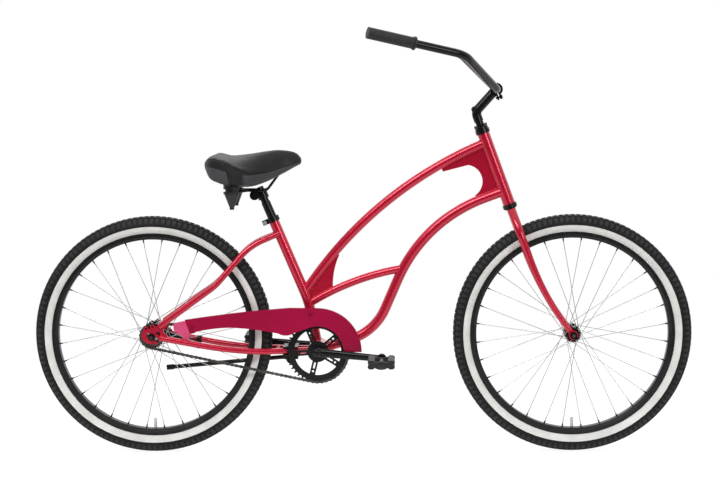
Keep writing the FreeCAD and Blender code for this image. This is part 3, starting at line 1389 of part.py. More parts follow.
def pedal_pair():
    """Pedal axles screwed into the crank's eyes, and a platform pedal with two tread blocks on each."""
    axles = []
    for side, sign in SIDES:
        out = ACROSS * sign
        eye = (bracket - CRANK_WAY * (sign * mm.crank_length)
               + ACROSS * (sign * (mm.arm_tip_side - mm.eye_width / 2)))
        inner = cell.eye_width + cell.pedal_gap
        end = inner + cell.pedal_width - cell.pedal_plate * 2
        axles.append(turned(f"pedal_axle_{side}", [
            (0, 0), (cell.pedal_thread_radius, 0), (cell.pedal_thread_radius, cell.eye_width),
            (cell.pedal_pin_radius, cell.eye_width), (cell.pedal_pin_radius, end), (0, end)], eye, out))
        foot = eye + out * inner.number
        barrel = cylinder(f"pedal_barrel_{side}", cell.pedal_barrel_radius, cell.pedal_width, foot, out)
        parts = [barrel]
        half = cell.pedal_length / 2
        corner = cell.pedal_height / 2
        shape = [[(half - corner, -corner), (half, 0, corner), (half - corner, corner, corner),
                  (corner - half, corner), (-half, 0, corner), (corner - half, -corner, corner)]]
        for place, spot in (("inner", 0), ("outer", mm.pedal_width - mm.pedal_plate)):
            parts.append(plate(f"pedal_{place}_plate_{side}", shape, cell.pedal_plate, foot + out * spot,
                               out, AHEAD))
        bore = cylinder(f"pedal_bore_{side}", cell.pedal_pin_radius + cell.run_gap,
                        cell.pedal_width - cell.pedal_plate * 2 + cell.run_gap + cell.overrun,
                        foot - out * mm.overrun, out)
        cage = cut(fuse(f"pedal_cage_{side}", *parts), bore)
        blocks = []
        for place, way in (("front", 1), ("rear", -1)):
            middle = foot + out * mm.pedal_plate + AHEAD * (way * (mm.pedal_length - mm.pedal_block) / 2)
            block = box(f"pedal_block_{place}_{side}", cell.pedal_block,
                        cell.pedal_height * PEDAL_BLOCK_SHARE, cell.pedal_width - cell.pedal_plate * 2,
                        middle, out, AHEAD)
            grooves = []
            for index in range(PEDAL_GROOVES):
                spot = (index + 1) * (mm.pedal_width - mm.pedal_plate * 2) / (PEDAL_GROOVES + 1)
                for rise in (-1, 1):
                    height = rise * mm.pedal_height * PEDAL_BLOCK_SHARE / 2
                    start = middle + out * spot + UP * height - AHEAD * (mm.pedal_length / 2)
                    grooves.append(cylinder(f"pedal_groove_{place}_{side}", cell.pedal_groove / 2,
                                            cell.pedal_length, start, AHEAD))
            blocks.append(cut(block, barrel, fuse(f"pedal_grooves_{place}_{side}", *grooves)))
        node(f"{side}_pedal", cage, *blocks)
    node("pedal_axles", *axles)


# Chain guard, brake arm and kickstand

GUARD_TAIL_SHARES = ((-1.0, 0.248), (-0.956, 0.147), (-0.64, 0.188), (-0.294, 0.142), (-0.18, 0.144),
                     (-0.084, 0.177))
GUARD_CREST_SHARES = (-0.204, 0.3365)
GUARD_CLIP_SHARES = ((-0.55, -0.1), (-0.2, -0.4), (0.45, -0.25), (0.45, 0.28), (-0.1, 0.3), (-0.55, 0.2))


def screw(name, radius, head_radius, head_height, length, seat, along):
    """A round-headed screw whose head sits on a face and whose shank runs along a direction."""
    return turned(name, [(0, -head_height), (head_radius, -head_height), (head_radius, 0), (radius, 0),
                         (radius, length), (0, length)], seat, along)


def hex_nut(name, bore, height, seat, along):
    blank = hexagon(f"{name}_blank", bore * 2, height, seat, along)
    drill = cylinder(f"{name}_drill", bore, height + cell.overrun * 2, seat - along * mm.overrun, along)
    return cut(blank, drill)


def chain_guard(tubes, chain_stays):
    """Stamped guard with a turned-in upper lip, its front bracket and its rear clip; returns their screws."""
    reach = cell.guard_length
    crest = tuple(reach * share for share in GUARD_CREST_SHARES)
    tail = scaled(reach, GUARD_TAIL_SHARES)
    radius = cell.guard_radius
    window = cell.guard_window
    under = cell.guard_sheet
    hole = cell.guard_screw_radius + cell.fit_gap
    front_screw = (-cell.guard_bracket_back, cell.guard_bracket_height)
    rear_screw = (cell.guard_clip_width - cell.guard_clip_back, cell.guard_clip_height)
    outline = [(radius, 0), (0, radius, radius), crest, tail[0] + (cell.guard_top_bow,), tail[1],
               tail[2] + (-cell.guard_tail_bow,), tail[3] + (-cell.guard_belly_bow,),
               tail[4] + (cell.guard_chin_bow,), tail[5], (window, 0, -window)]
    sheet_face = plate("guard_sheet_face", [outline, front_screw + (hole,), rear_screw + (hole,)], under,
                       from_bracket(0, 0, -mm.guard_side))
    lip = plate("guard_lip_strip", [[
        (radius, 0), (0, radius, radius), crest, tail[0] + (cell.guard_top_bow,),
        (tail[0][0], tail[0][1] - under), (crest[0], crest[1] - under, -cell.guard_top_bow),
        (0, radius - under), (radius - under, 0, -(radius - under))]], cell.guard_lip + under,
        from_bracket(0, 0, mm.guard_lip - mm.guard_side))

    width = cell.guard_clip_width
    tab_spot = from_bracket(-mm.guard_bracket_back, mm.guard_bracket_height, -mm.guard_side)
    tab = box("guard_bracket_tab", width, width, under * 2, tab_spot, ACROSS, AHEAD)
    strip_spot = tab_spot + UP * (mm.guard_clip_width / 2 - mm.guard_sheet)
    strip = box("guard_bracket_strip", width, under * 2, cell.guard_side, strip_spot, ACROSS, AHEAD)
    tab_drill = cylinder("guard_bracket_drill", hole, width, tab_spot - ACROSS * mm.overrun, ACROSS)
    support = cut(fuse("guard_bracket_form", tab, strip), tubes.seat, tab_drill)

    clip_spot = from_bracket(-mm.guard_clip_back, mm.guard_clip_height, mm.guard_sheet - mm.guard_side)
    clip_face = plate("guard_clip_face", [scaled(cell.guard_clip_reach, GUARD_CLIP_SHARES), (width, 0, hole)],
                      under, clip_spot)
    clip_tab = box("guard_clip_tab", width, under, cell.guard_tab_drop,
                   clip_spot - ACROSS * (mm.guard_sheet / 2), -UP, AHEAD)
    clip = cut(fuse("guard_clip_form", clip_face, clip_tab), *chain_stays)
    node("chain_guard", fuse("guard_pressing", sheet_face, lip), support, clip)

    pieces = []
    for name, place, sheets in (("front", front_screw, under * 3), ("rear", rear_screw, under * 2)):
        seat = from_bracket(place[0].number, place[1].number, -mm.guard_side - mm.guard_sheet)
        pieces.append(screw(f"guard_screw_{name}", cell.guard_screw_radius, cell.guard_screw_head,
                            cell.guard_screw_rise, sheets + cell.guard_screw_rise, seat, ACROSS))
        pieces.append(hex_nut(f"guard_nut_{name}", cell.guard_screw_radius, cell.guard_screw_rise,
                              seat + ACROSS * sheets.number, ACROSS))
    return pieces


def brake_arm(chain_stays):
    """Arm on the left end of the rear axle and the strap that ties it to the chain stay; returns its bolt."""
    end = from_rear(mm.stay_end_ahead, -mm.chain_stay_end_drop, mm.stay_end_side)
    corner = from_rear(mm.chain_stay_corner_ahead, -mm.chain_stay_corner_drop, mm.chain_stay_corner_side)
    along = (corner - end).normalize()
    middle = end + along * mm.strap_place
    band_radius = cell.stay_radius + cell.strap_wall
    bolt = Vector(middle.x, mm.brake_arm_side, middle.z - band_radius.number - mm.strap_ear / 2)
    hub = rear_axle + ACROSS * mm.brake_arm_side
    reach = bolt - hub
    length = Size(reach.Length, repr(reach.Length))
    root = cell.brake_arm_root
    tip = cell.brake_arm_tip
    hole = cell.strap_bolt_radius + cell.fit_gap
    outline = [(0, root, -root), (length, tip), (length + tip, 0, -tip), (length, -tip, -tip), (0, -root),
               (-root, 0, -root)]
    arm = plate("brake_arm_plate", [outline, (0, 0, cell.axle_radius), (length, 0, hole)],
                cell.brake_arm_thickness, hub, ACROSS, reach)

    arm_face = bolt + ACROSS * mm.brake_arm_thickness
    band = cylinder("strap_band", band_radius, cell.strap_width, middle - along * (mm.strap_width / 2), along)
    ear_height = Size(middle.z - bolt.z, repr(middle.z - bolt.z)) + cell.strap_ear / 2
    ear = box("strap_ear", cell.strap_width, cell.strap_ear_thickness, ear_height,
              arm_face + ACROSS * (mm.strap_ear_thickness / 2) - UP * (mm.strap_ear / 2), UP, AHEAD)
    ear_drill = cross_bar("strap_ear_drill", hole, cell.strap_width * 4, bolt)
    strap = cut(fuse("strap_form", band, ear), chain_stays[1], ear_drill)
    node("brake_arm", arm, strap)
    stack = cell.brake_arm_thickness + cell.strap_ear_thickness
    return [screw("strap_screw", cell.strap_bolt_radius, cell.guard_screw_head, cell.guard_screw_rise,
                  stack + cell.guard_screw_rise, bolt + ACROSS * stack.number, -ACROSS),
            hex_nut("strap_nut", cell.strap_bolt_radius, cell.guard_screw_rise, bolt, -ACROSS)]


def kickstand():
    """Clamp block and plate on the chain stays, and the bent leg with its rubber foot; returns the bolt."""
    run = bracket_reach - mm.chain_stay_corner_ahead
    share = (run - mm.kick_back) / run
    drop = mm.chain_stay_corner_drop + (mm.bracket_drop - mm.chain_stay_corner_drop) * share
    stay_line = from_rear(bracket_reach - mm.kick_back, -drop)
    clear = mm.stay_radius + mm.fit_gap
    under = stay_line - UP * clear
    over = stay_line + UP * clear
    pivot = Vector(bracket.x - mm.kick_pivot_back, mm.kick_pivot_side, mm.kick_pivot_height)
    lug_foot = pivot - KICK_AXIS * mm.kick_lug_half
    block = box("kick_block", cell.kick_block_length, cell.kick_block_width, cell.kick_block_height,
                under, -UP)
    lug = cylinder("kick_lug", cell.kick_lug_radius, cell.kick_lug_half * 2, lug_foot, KICK_AXIS)
    pin_hole = cylinder("kick_pin_hole", cell.kick_leg_radius + cell.run_gap,
                        cell.kick_block_width * 2, pivot - KICK_AXIS * mm.kick_block_width, KICK_AXIS)
    bolt_hole = cylinder("kick_bolt_hole", cell.kick_bolt_radius + cell.fit_gap, cell.kick_block_width,
                         stay_line - UP * (mm.kick_block_width / 2), UP)
    cap = box("kick_plate", cell.kick_block_length, cell.kick_block_width, cell.kick_plate_height, over, UP)
    node("kickstand_bracket", cut(fuse("kick_casting", block, lug), pin_hole, bolt_hole), cut(cap, bolt_hole))

    corner = pivot - KICK_AXIS * mm.kick_pin_out
    foot = Vector(bracket.x - mm.kick_foot_back, mm.kick_foot_side, mm.kick_foot_height)
    line = path("kick_leg_path", [pivot + KICK_AXIS * mm.kick_pin_in, corner, foot], [mm.kick_leg_bend])
    node("kickstand_leg", rod("kickstand_leg_rod", line, cell.kick_leg_radius))
    way = (foot - corner).normalize()
    sleeve = cylinder("kick_sleeve", cell.kick_rubber_radius, cell.kick_rubber_length,
                      foot + way * (mm.kick_rubber_radius - mm.kick_leg_radius - mm.kick_rubber_length), way)
    socket = cylinder("kick_socket", cell.kick_leg_radius, cell.kick_rubber_length, foot, -way)
    node("kickstand_foot", cut(sleeve, socket))

    length = cell.kick_block_height + cell.kick_plate_height + (cell.stay_radius + cell.fit_gap) * 2
    return [screw("kick_bolt", cell.kick_bolt_radius, cell.kick_bolt_head, cell.kick_bolt_radius, length,
                  over + UP * mm.kick_plate_height, -UP)]


# Stem, handlebar and grips


def stem():
    """Quill stem with a split clamp, its clamp screw, the long quill bolt and the expander."""
    foot = locknut_top - mm.quill_depth
    elbow = locknut_top + mm.stem_elbow_height
    clamp = steer(locknut_top + mm.stem_rise, mm.stem_reach)
    quill_radius = cell.steerer_radius - cell.steerer_wall - cell.quill_gap
    quill = cylinder("stem_quill", quill_radius, cell.quill_depth + cell.stem_elbow_height,
                     steer(foot), STEER_UP)
    line = path("stem_arm_path", [steer(locknut_top + mm.stem_collar_gap), steer(elbow), clamp],
                [mm.stem_elbow_bend])
    arm = rod("stem_arm", line, cell.stem_radius)
    boss = cylinder("stem_bolt_boss", cell.stem_boss_radius, cell.stem_radius * 2,
                    steer(elbow - mm.stem_radius), STEER_UP)
    barrel = cross_bar("stem_clamp_barrel", cell.clamp_radius, cell.clamp_width, clamp)
    ear_way = -STEER_UP
    ears = box("stem_clamp_ears", cell.clamp_ear, cell.clamp_width * CLAMP_EAR_SHARE,
               cell.clamp_radius + cell.clamp_ear, clamp, ear_way, STEER_FRONT)
    bolt_spot = clamp + ear_way * (mm.clamp_radius + mm.clamp_ear / 2)
    bolt_start = bolt_spot + STEER_FRONT * (mm.clamp_ear / 2)
    bore = cross_bar("stem_bar_bore", cell.bar_radius + cell.fit_gap, cell.clamp_width * 2, clamp)
    slit = box("stem_clamp_slit", cell.clamp_slit, cell.clamp_width * 2, cell.clamp_radius * 3, clamp,
               ear_way, STEER_FRONT)
    cross_hole = cylinder("stem_clamp_hole", cell.stem_bolt_radius + cell.fit_gap, cell.clamp_ear * 2,
                          bolt_start + STEER_FRONT * mm.overrun, -STEER_FRONT)
    long_hole = cylinder("stem_long_hole", cell.stem_bolt_radius + cell.run_gap, cell.head_length,
                         steer(foot - mm.overrun), STEER_UP)
    body = cut(fuse("stem_forging", quill, arm, boss, barrel, ears), bore, slit, cross_hole, long_hole)
    clamp_bolt = screw("stem_clamp_bolt", cell.stem_bolt_radius, cell.stem_bolt_head, cell.stem_bolt_radius,
                       cell.clamp_ear + cell.stem_bolt_radius, bolt_start, -STEER_FRONT)
    shank = cell.quill_depth + cell.stem_elbow_height + cell.stem_radius + cell.expander_length
    long_bolt = screw("stem_long_bolt", cell.stem_bolt_radius, cell.stem_bolt_head, cell.stem_bolt_radius,
                      shank, steer(elbow + mm.stem_radius), -STEER_UP)
    expander = ring("stem_expander", cell.stem_bolt_radius, quill_radius, as_size(0), cell.expander_length,
                    steer(foot), -STEER_UP)
    node("stem", body, clamp_bolt, long_bolt, expander)
    return clamp


def handlebar(clamp):
    """Swept-back bar with two bends each side, and a grip on each end."""
    def bar_point(back, side, rise):
        return clamp + Vector(-back, side, rise)

    right = [bar_point(mm.bar_end_back, -mm.bar_end_side, mm.bar_end_rise),
             bar_point(mm.bar_corner_back, -mm.bar_corner_side, mm.bar_corner_rise),
             bar_point(0, -mm.bar_centre_half, 0)]
    left = [Vector(point.x, -point.y, point.z) for point in reversed(right)]
    line = path("handlebar_path", right + left, [mm.bar_bend] * 4)
    outside = rod("handlebar_outside", line, cell.bar_radius)
    inside = rod("handlebar_inside", line, cell.bar_radius - cell.bar_wall)
    node("handlebar", cut(outside, inside))
    for side, end, corner in (("right", right[0], right[1]), ("left", left[-1], left[-2])):
        way = (end - corner).normalize()
        inner = cell.grip_cap - cell.grip_length
        flange_end = inner + cell.grip_flange_width
        node(f"grip_{side}", turned(f"grip_{side}", [
            (cell.bar_radius, inner), (cell.grip_flange_radius, inner), (cell.grip_flange_radius, flange_end),
            (cell.grip_radius, flange_end), (cell.grip_radius, cell.grip_cap), (0, cell.grip_cap), (0, 0),
            (cell.bar_radius, 0)], end, way))


# Seat post and saddle

SADDLE_STATION_SHARES = (0.0, 0.089, 0.263, 0.456, 0.629, 0.803, 0.938, 1.0)
SADDLE_WIDTH_SHARES = (0.56, 0.944, 1.0, 0.784, 0.496, 0.304, 0.24, 0.096)
SADDLE_TOP_SHARES = (0.828, 0.903, 0.849, 0.882, 0.946, 1.0, 0.925, 0.742)
SADDLE_FOOT_SHARES = (0.441, 0.226, 0.054, 0.0, 0.14, 0.376, 0.548, 0.613)
SADDLE_BASE_SHARE = 0.86
SADDLE_BULGE_SHARE = 0.42
SADDLE_SHOULDER_SHARES = (0.88, 0.8)
PAN_WIDTH_SHARE = 0.8
PAN_TOP_SHARE = 0.5
DAMPER_OUTLINE_SHARES = ((0.0, -0.6), (0.28, -0.6), (0.28, -0.5), (0.91, 0.117), (1.0, 0.117), (1.0, 0.217),
                         (0.78, 0.217), (0.78, 0.35), (1.0, 0.35), (1.0, 0.8), (0.0, 0.8))


def seat_collar():
    """Split collar at the top of the seat tube; returns its bolt and nut."""
    foot = seat_top - SEAT_UP * mm.collar_height
    radius = cell.seat_tube_radius + cell.collar_wall
    band = cylinder("collar_band", radius, cell.collar_height, foot, SEAT_UP)
    middle = foot + SEAT_UP * (mm.collar_height / 2)
    ears = box("collar_ears", cell.collar_height, cell.collar_ear_width, radius + cell.collar_ear, middle,
               SEAT_BACK, SEAT_UP)
    bore = cylinder("collar_bore", cell.seat_tube_radius, cell.collar_height + cell.overrun * 2,
                    foot - SEAT_UP * mm.overrun, SEAT_UP)
    slit = box("collar_slit", cell.collar_height * 2, cell.collar_slit, radius + cell.collar_ear * 2, middle,
               SEAT_BACK, SEAT_UP)
    spot = middle + SEAT_BACK * (radius.number + mm.collar_ear / 2)
    hole = cross_bar("collar_hole", cell.collar_bolt_radius + cell.fit_gap, cell.collar_ear_width * 2, spot)
    node("seat_collar", cut(fuse("collar_form", band, ears), bore, slit, hole))
    seat = spot - ACROSS * (mm.collar_ear_width / 2)
    radius = cell.collar_bolt_radius
    bolt = screw("collar_bolt", radius, radius * 2, radius, cell.collar_ear_width + radius, seat, ACROSS)
    nut = hex_nut("collar_nut", radius, radius, spot + ACROSS * (mm.collar_ear_width / 2), ACROSS)
    return [bolt, nut]


def seat_post():
    """Stepped post and the clamp on its neck; returns the point that the saddle tilts about."""
    radius = cell.seat_tube_radius - cell.tube_wall - cell.fit_gap
    bore = cell.post_neck_radius - cell.tube_wall
    step = cell.post_rise - cell.post_neck_length
    node("seat_post", turned("seat_post", [
        (bore, -cell.post_depth), (radius, -cell.post_depth), (radius, step), (cell.post_neck_radius, step),
        (cell.post_neck_radius, cell.post_rise), (bore, cell.post_rise)], seat_top, SEAT_UP))
    middle = seat_top + SEAT_UP * (mm.post_rise - mm.post_clamp_drop)
    pivot = middle - AHEAD * mm.post_barrel_back
    band = cylinder("post_clamp_band", cell.post_clamp_radius, cell.post_clamp_height,
                    middle - SEAT_UP * (mm.post_clamp_height / 2), SEAT_UP)
    barrel = cross_bar("post_clamp_barrel", cell.post_barrel_radius, cell.post_barrel_half * 2, pivot)
    neck = cylinder("post_clamp_bore", cell.post_neck_radius, cell.post_clamp_height * 3,
                    middle - SEAT_UP * (mm.post_clamp_height * 1.5), SEAT_UP)
    hole = cross_bar("post_clamp_hole", cell.saddle_bolt_radius + cell.run_gap, cell.post_barrel_half * 4,
                     pivot)
    node("saddle_clamp", cut(fuse("post_clamp_form", band, barrel), neck, hole))
    return pivot


def saddle_sections(pivot, name, wire_maker):
    """One closed section across the saddle at each station from the tail to the nose."""
    sections = []
    tail = pivot + Vector(-mm.saddle_back, 0, mm.saddle_base)
    for index, share in enumerate(SADDLE_STATION_SHARES):
        middle = tail + AHEAD * (share * mm.saddle_length)
        half = SADDLE_WIDTH_SHARES[index] * mm.saddle_width / 2
        top = SADDLE_TOP_SHARES[index] * mm.saddle_depth
        foot = SADDLE_FOOT_SHARES[index] * mm.saddle_depth
        sections.append(feature(f"{name}_section", wire_maker(middle, half, foot, top)))
    return loft(name, sections)


def cover_wire(middle, half, foot, top):
    """Flat base, drawn-in sides that bulge in between, and a crowned top."""
    def spot(side, height):
        return middle + Vector(0, side, height)

    rise = top - foot
    base = half * SADDLE_BASE_SHARE
    bulge = foot + rise * SADDLE_BULGE_SHARE
    shoulder = half * SADDLE_SHOULDER_SHARES[0]
    shoulder_height = foot + rise * SADDLE_SHOULDER_SHARES[1]
    return Part.Wire([
        Part.LineSegment(spot(-base, foot), spot(base, foot)).toShape(),
        Part.Arc(spot(base, foot), spot(half, bulge), spot(shoulder, shoulder_height)).toShape(),
        Part.Arc(spot(shoulder, shoulder_height), spot(0, top), spot(-shoulder, shoulder_height)).toShape(),
        Part.Arc(spot(-shoulder, shoulder_height), spot(-half, bulge), spot(-base, foot)).toShape()])


def pan_wire(middle, half, foot, top):
    """The pan's outline, closed above inside the cover."""
    side = half * PAN_WIDTH_SHARE
    low = foot - mm.pan_thickness
    high = foot + (top - foot) * PAN_TOP_SHARE
    corners = [middle + Vector(0, across, height)
               for across, height in ((-side, low), (side, low), (side, high), (-side, high))]
    return Part.makePolygon(corners + corners[:1])


def saddle(pivot):
    """Cover, pan, two rails with their clamp discs and bolt, and the two tapered dampers at the rear."""
    cover = node("saddle_cover", saddle_sections(pivot, "saddle_cover_form", cover_wire))
    pan = saddle_sections(pivot, "saddle_pan_form", pan_wire)
    node("saddle_pan", cut(pan, cover))
    dampers = []
    rails = []
    discs = []
    for side, sign in SIDES:
        seat = pivot + Vector(-mm.damper_back, sign * mm.damper_side, 0)
        outline = [(cell.damper_radius * out, cell.damper_height * up) for out, up in DAMPER_OUTLINE_SHARES]
        damper = cut(turned(f"damper_{side}", outline, seat, UP), pan)
        dampers.append(damper)
        across = sign * mm.rail_side
        line = path(f"rail_path_{side}", [
            pivot + Vector(mm.rail_nose_ahead, sign * mm.rail_nose_side, mm.rail_nose_rise),
            pivot + Vector(mm.rail_front_ahead, across, mm.rail_rise),
            pivot + Vector(-mm.rail_rear_back, across, mm.rail_rise),
            seat + UP * mm.rail_end_rise], [mm.rail_bend] * 2)
        bar = rod(f"rail_bar_{side}", line, cell.rail_radius)
        rails.append(cut(bar, pan, damper))
        start = pivot + ACROSS * (sign * (mm.post_barrel_half + mm.run_gap))
        disc = cylinder(f"saddle_disc_{side}", cell.saddle_disc_radius, cell.saddle_disc_width, start,
                        ACROSS * sign)
        hole = cylinder(f"saddle_disc_hole_{side}", cell.saddle_bolt_radius, cell.post_barrel_half * 3, pivot,
                        ACROSS * sign)
        discs.append(cut(disc, bar, hole))
    half = cell.post_barrel_half + cell.run_gap + cell.saddle_disc_width
    radius = cell.saddle_bolt_radius
    bolt = screw("saddle_bolt", radius, radius * 2, radius, half * 2 + radius, pivot - ACROSS * half.number,
                 ACROSS)
    nut = hex_nut("saddle_nut", radius, radius, pivot + ACROSS * half.number, ACROSS)
    node("saddle_rails", *rails, *discs, bolt, nut)
    node("saddle_dampers", *dampers)


def finish():
    """Checks every object and writes each sub-part to its own file."""
    doc.recompute()
    broken = [item.Label for item in doc.Objects if {"Invalid", "Error"} & set(item.State)]
    for name, item in nodes.items():
        if item.Label != name or item.Shape.isNull() or not item.Shape.isValid() or not item.Shape.Solids:
            broken.append(name)
    if broken:
        raise RuntimeError("These pieces failed: " + ", ".join(broken))
    os.makedirs("parts", exist_ok=True)
    for name, item in nodes.items():
        solids = item.Shape.Solids
        shape = solids[0] if len(solids) == 1 else Part.makeCompound(solids)
        shape.exportStep(f"parts/{name}.step")


frame = frame_tubes()
gussets(frame)
chain_stays = rear_ends(frame)
frame_bearings()
fork()
front_axle_set()
wheels()
rear_axle_set()
rear_drive()
crank()
chainring()
bracket_cones()
chain()
pedal_pair()
fasteners = chain_guard(frame, chain_stays) + brake_arm(chain_stays) + kickstand() + seat_collar()
node("frame_fasteners", *fasteners)
handlebar(stem())
saddle(seat_post())
finish()
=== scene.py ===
import json
import math

import bmesh
import bpy
from mathutils import Matrix, Vector


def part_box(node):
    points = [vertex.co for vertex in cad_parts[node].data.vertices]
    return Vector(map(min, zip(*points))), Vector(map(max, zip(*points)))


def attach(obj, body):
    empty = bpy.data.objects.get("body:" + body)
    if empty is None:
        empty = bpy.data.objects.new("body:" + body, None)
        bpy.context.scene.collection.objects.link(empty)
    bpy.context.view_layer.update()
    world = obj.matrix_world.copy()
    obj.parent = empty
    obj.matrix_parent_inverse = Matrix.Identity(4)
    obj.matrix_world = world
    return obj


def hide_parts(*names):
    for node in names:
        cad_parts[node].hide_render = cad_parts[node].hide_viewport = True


# Beach cruiser bicycle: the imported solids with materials, and finer tyres, saddle and pedals.
# Everything is in metres: +X forward, +Y to the rider's left, +Z up, with the ground at zero.

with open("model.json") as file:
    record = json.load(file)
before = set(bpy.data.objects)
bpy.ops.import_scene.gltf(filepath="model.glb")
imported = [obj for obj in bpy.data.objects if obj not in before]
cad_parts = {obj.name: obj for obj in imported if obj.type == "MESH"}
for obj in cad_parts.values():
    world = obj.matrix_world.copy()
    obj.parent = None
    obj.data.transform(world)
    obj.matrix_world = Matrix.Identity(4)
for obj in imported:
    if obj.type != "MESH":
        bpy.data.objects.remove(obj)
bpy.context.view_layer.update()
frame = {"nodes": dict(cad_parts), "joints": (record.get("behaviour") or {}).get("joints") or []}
nodes = frame["nodes"]
joints = {joint["name"]: joint for joint in frame["joints"]}

WHEELS = {name: Vector(joints[f"{name}_wheel_spin"]["pos_m"]) for name in ("front", "rear")}
TYRE_RADIUS = (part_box("front_tyre")[1].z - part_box("front_tyre")[0].z) / 2
TYRE_SECTION = (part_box("front_tyre")[1].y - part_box("front_tyre")[0].y) / 2
TYRE_CORE = TYRE_RADIUS - TYRE_SECTION

# Places where a finish changes, and the scale of its pattern

NIPPLE_DEPTH_SHARE = 1.82
NIPPLE_BEFORE = 0.01
NIPPLE_AFTER = 0.03
REACH_SCALE = 2.0
GUARD_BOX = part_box("chain_guard")
GUARD_SCREW_DEPTH = 0.012
GUARD_SIDE = GUARD_BOX[0].y + GUARD_SCREW_DEPTH
COLLAR_SCREW_DROP = 0.02
COLLAR_SCREW_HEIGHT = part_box("seat_collar")[0].z - COLLAR_SCREW_DROP
CLIP_LEAN = 0.35
CLIP_LENGTH = 0.020
GUARD_CLIP_PLACE = GUARD_BOX[0].x + CLIP_LEAN * GUARD_BOX[1].z + CLIP_LENGTH
GRIP_GROOVE_PITCH = 0.0042
FLAKE_SHARE = 0.2
NOISE_LOW = 0.3
NOISE_HIGH = 0.7

# Numbers of the mix node's colour sockets

MIX_COLOUR_A = 6
MIX_COLOUR_B = 7
MIX_COLOUR_RESULT = 2

# Saddle: its box, and its section at stations from tail to nose as shares of that box

SADDLE_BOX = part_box("saddle_cover")
SADDLE_TAIL_PROUD = 0.001
SADDLE_LENGTH_PROUD = 0.005
SADDLE_SIDE_ROOM = 0.004
SADDLE_TAIL = Vector((SADDLE_BOX[0].x - SADDLE_TAIL_PROUD, 0.0, SADDLE_BOX[0].z))
SADDLE_LENGTH = SADDLE_BOX[1].x - SADDLE_BOX[0].x + SADDLE_LENGTH_PROUD
SADDLE_WIDTH = SADDLE_BOX[1].y - SADDLE_BOX[0].y - SADDLE_SIDE_ROOM
SADDLE_DEPTH = SADDLE_BOX[1].z - SADDLE_BOX[0].z
STATION_SHARES = (0.0, 0.05, 0.12, 0.263, 0.456, 0.629, 0.803, 0.938, 1.0)
WIDTH_SHARES = (0.60, 0.82, 0.97, 1.0, 0.784, 0.496, 0.304, 0.235, 0.10)
TOP_SHARES = (0.79, 0.880, 0.872, 0.825, 0.878, 0.957, 1.012, 0.965, 0.80)
CREASE_SHARES = (0.72, 0.84, 0.845, 0.70, 0.45, 0.442, 0.535, 0.635, 0.69)
FOOT_SHARES = (0.58, 0.29, 0.175, 0.055, 0.0, 0.125, 0.355, 0.56, 0.635)
# Height of the line below which the cover is painted lighter, as painted reflected light from the floor
LIT_PANEL_SHARES = (0.60, 0.585, 0.56, 0.44, 0.32, 0.355, 0.50, 0.62, 0.68)
STRIP_REAR = (0.245, 0.315)
STRIP_FRONT = (0.405, 0.43)


# Node trees for the materials


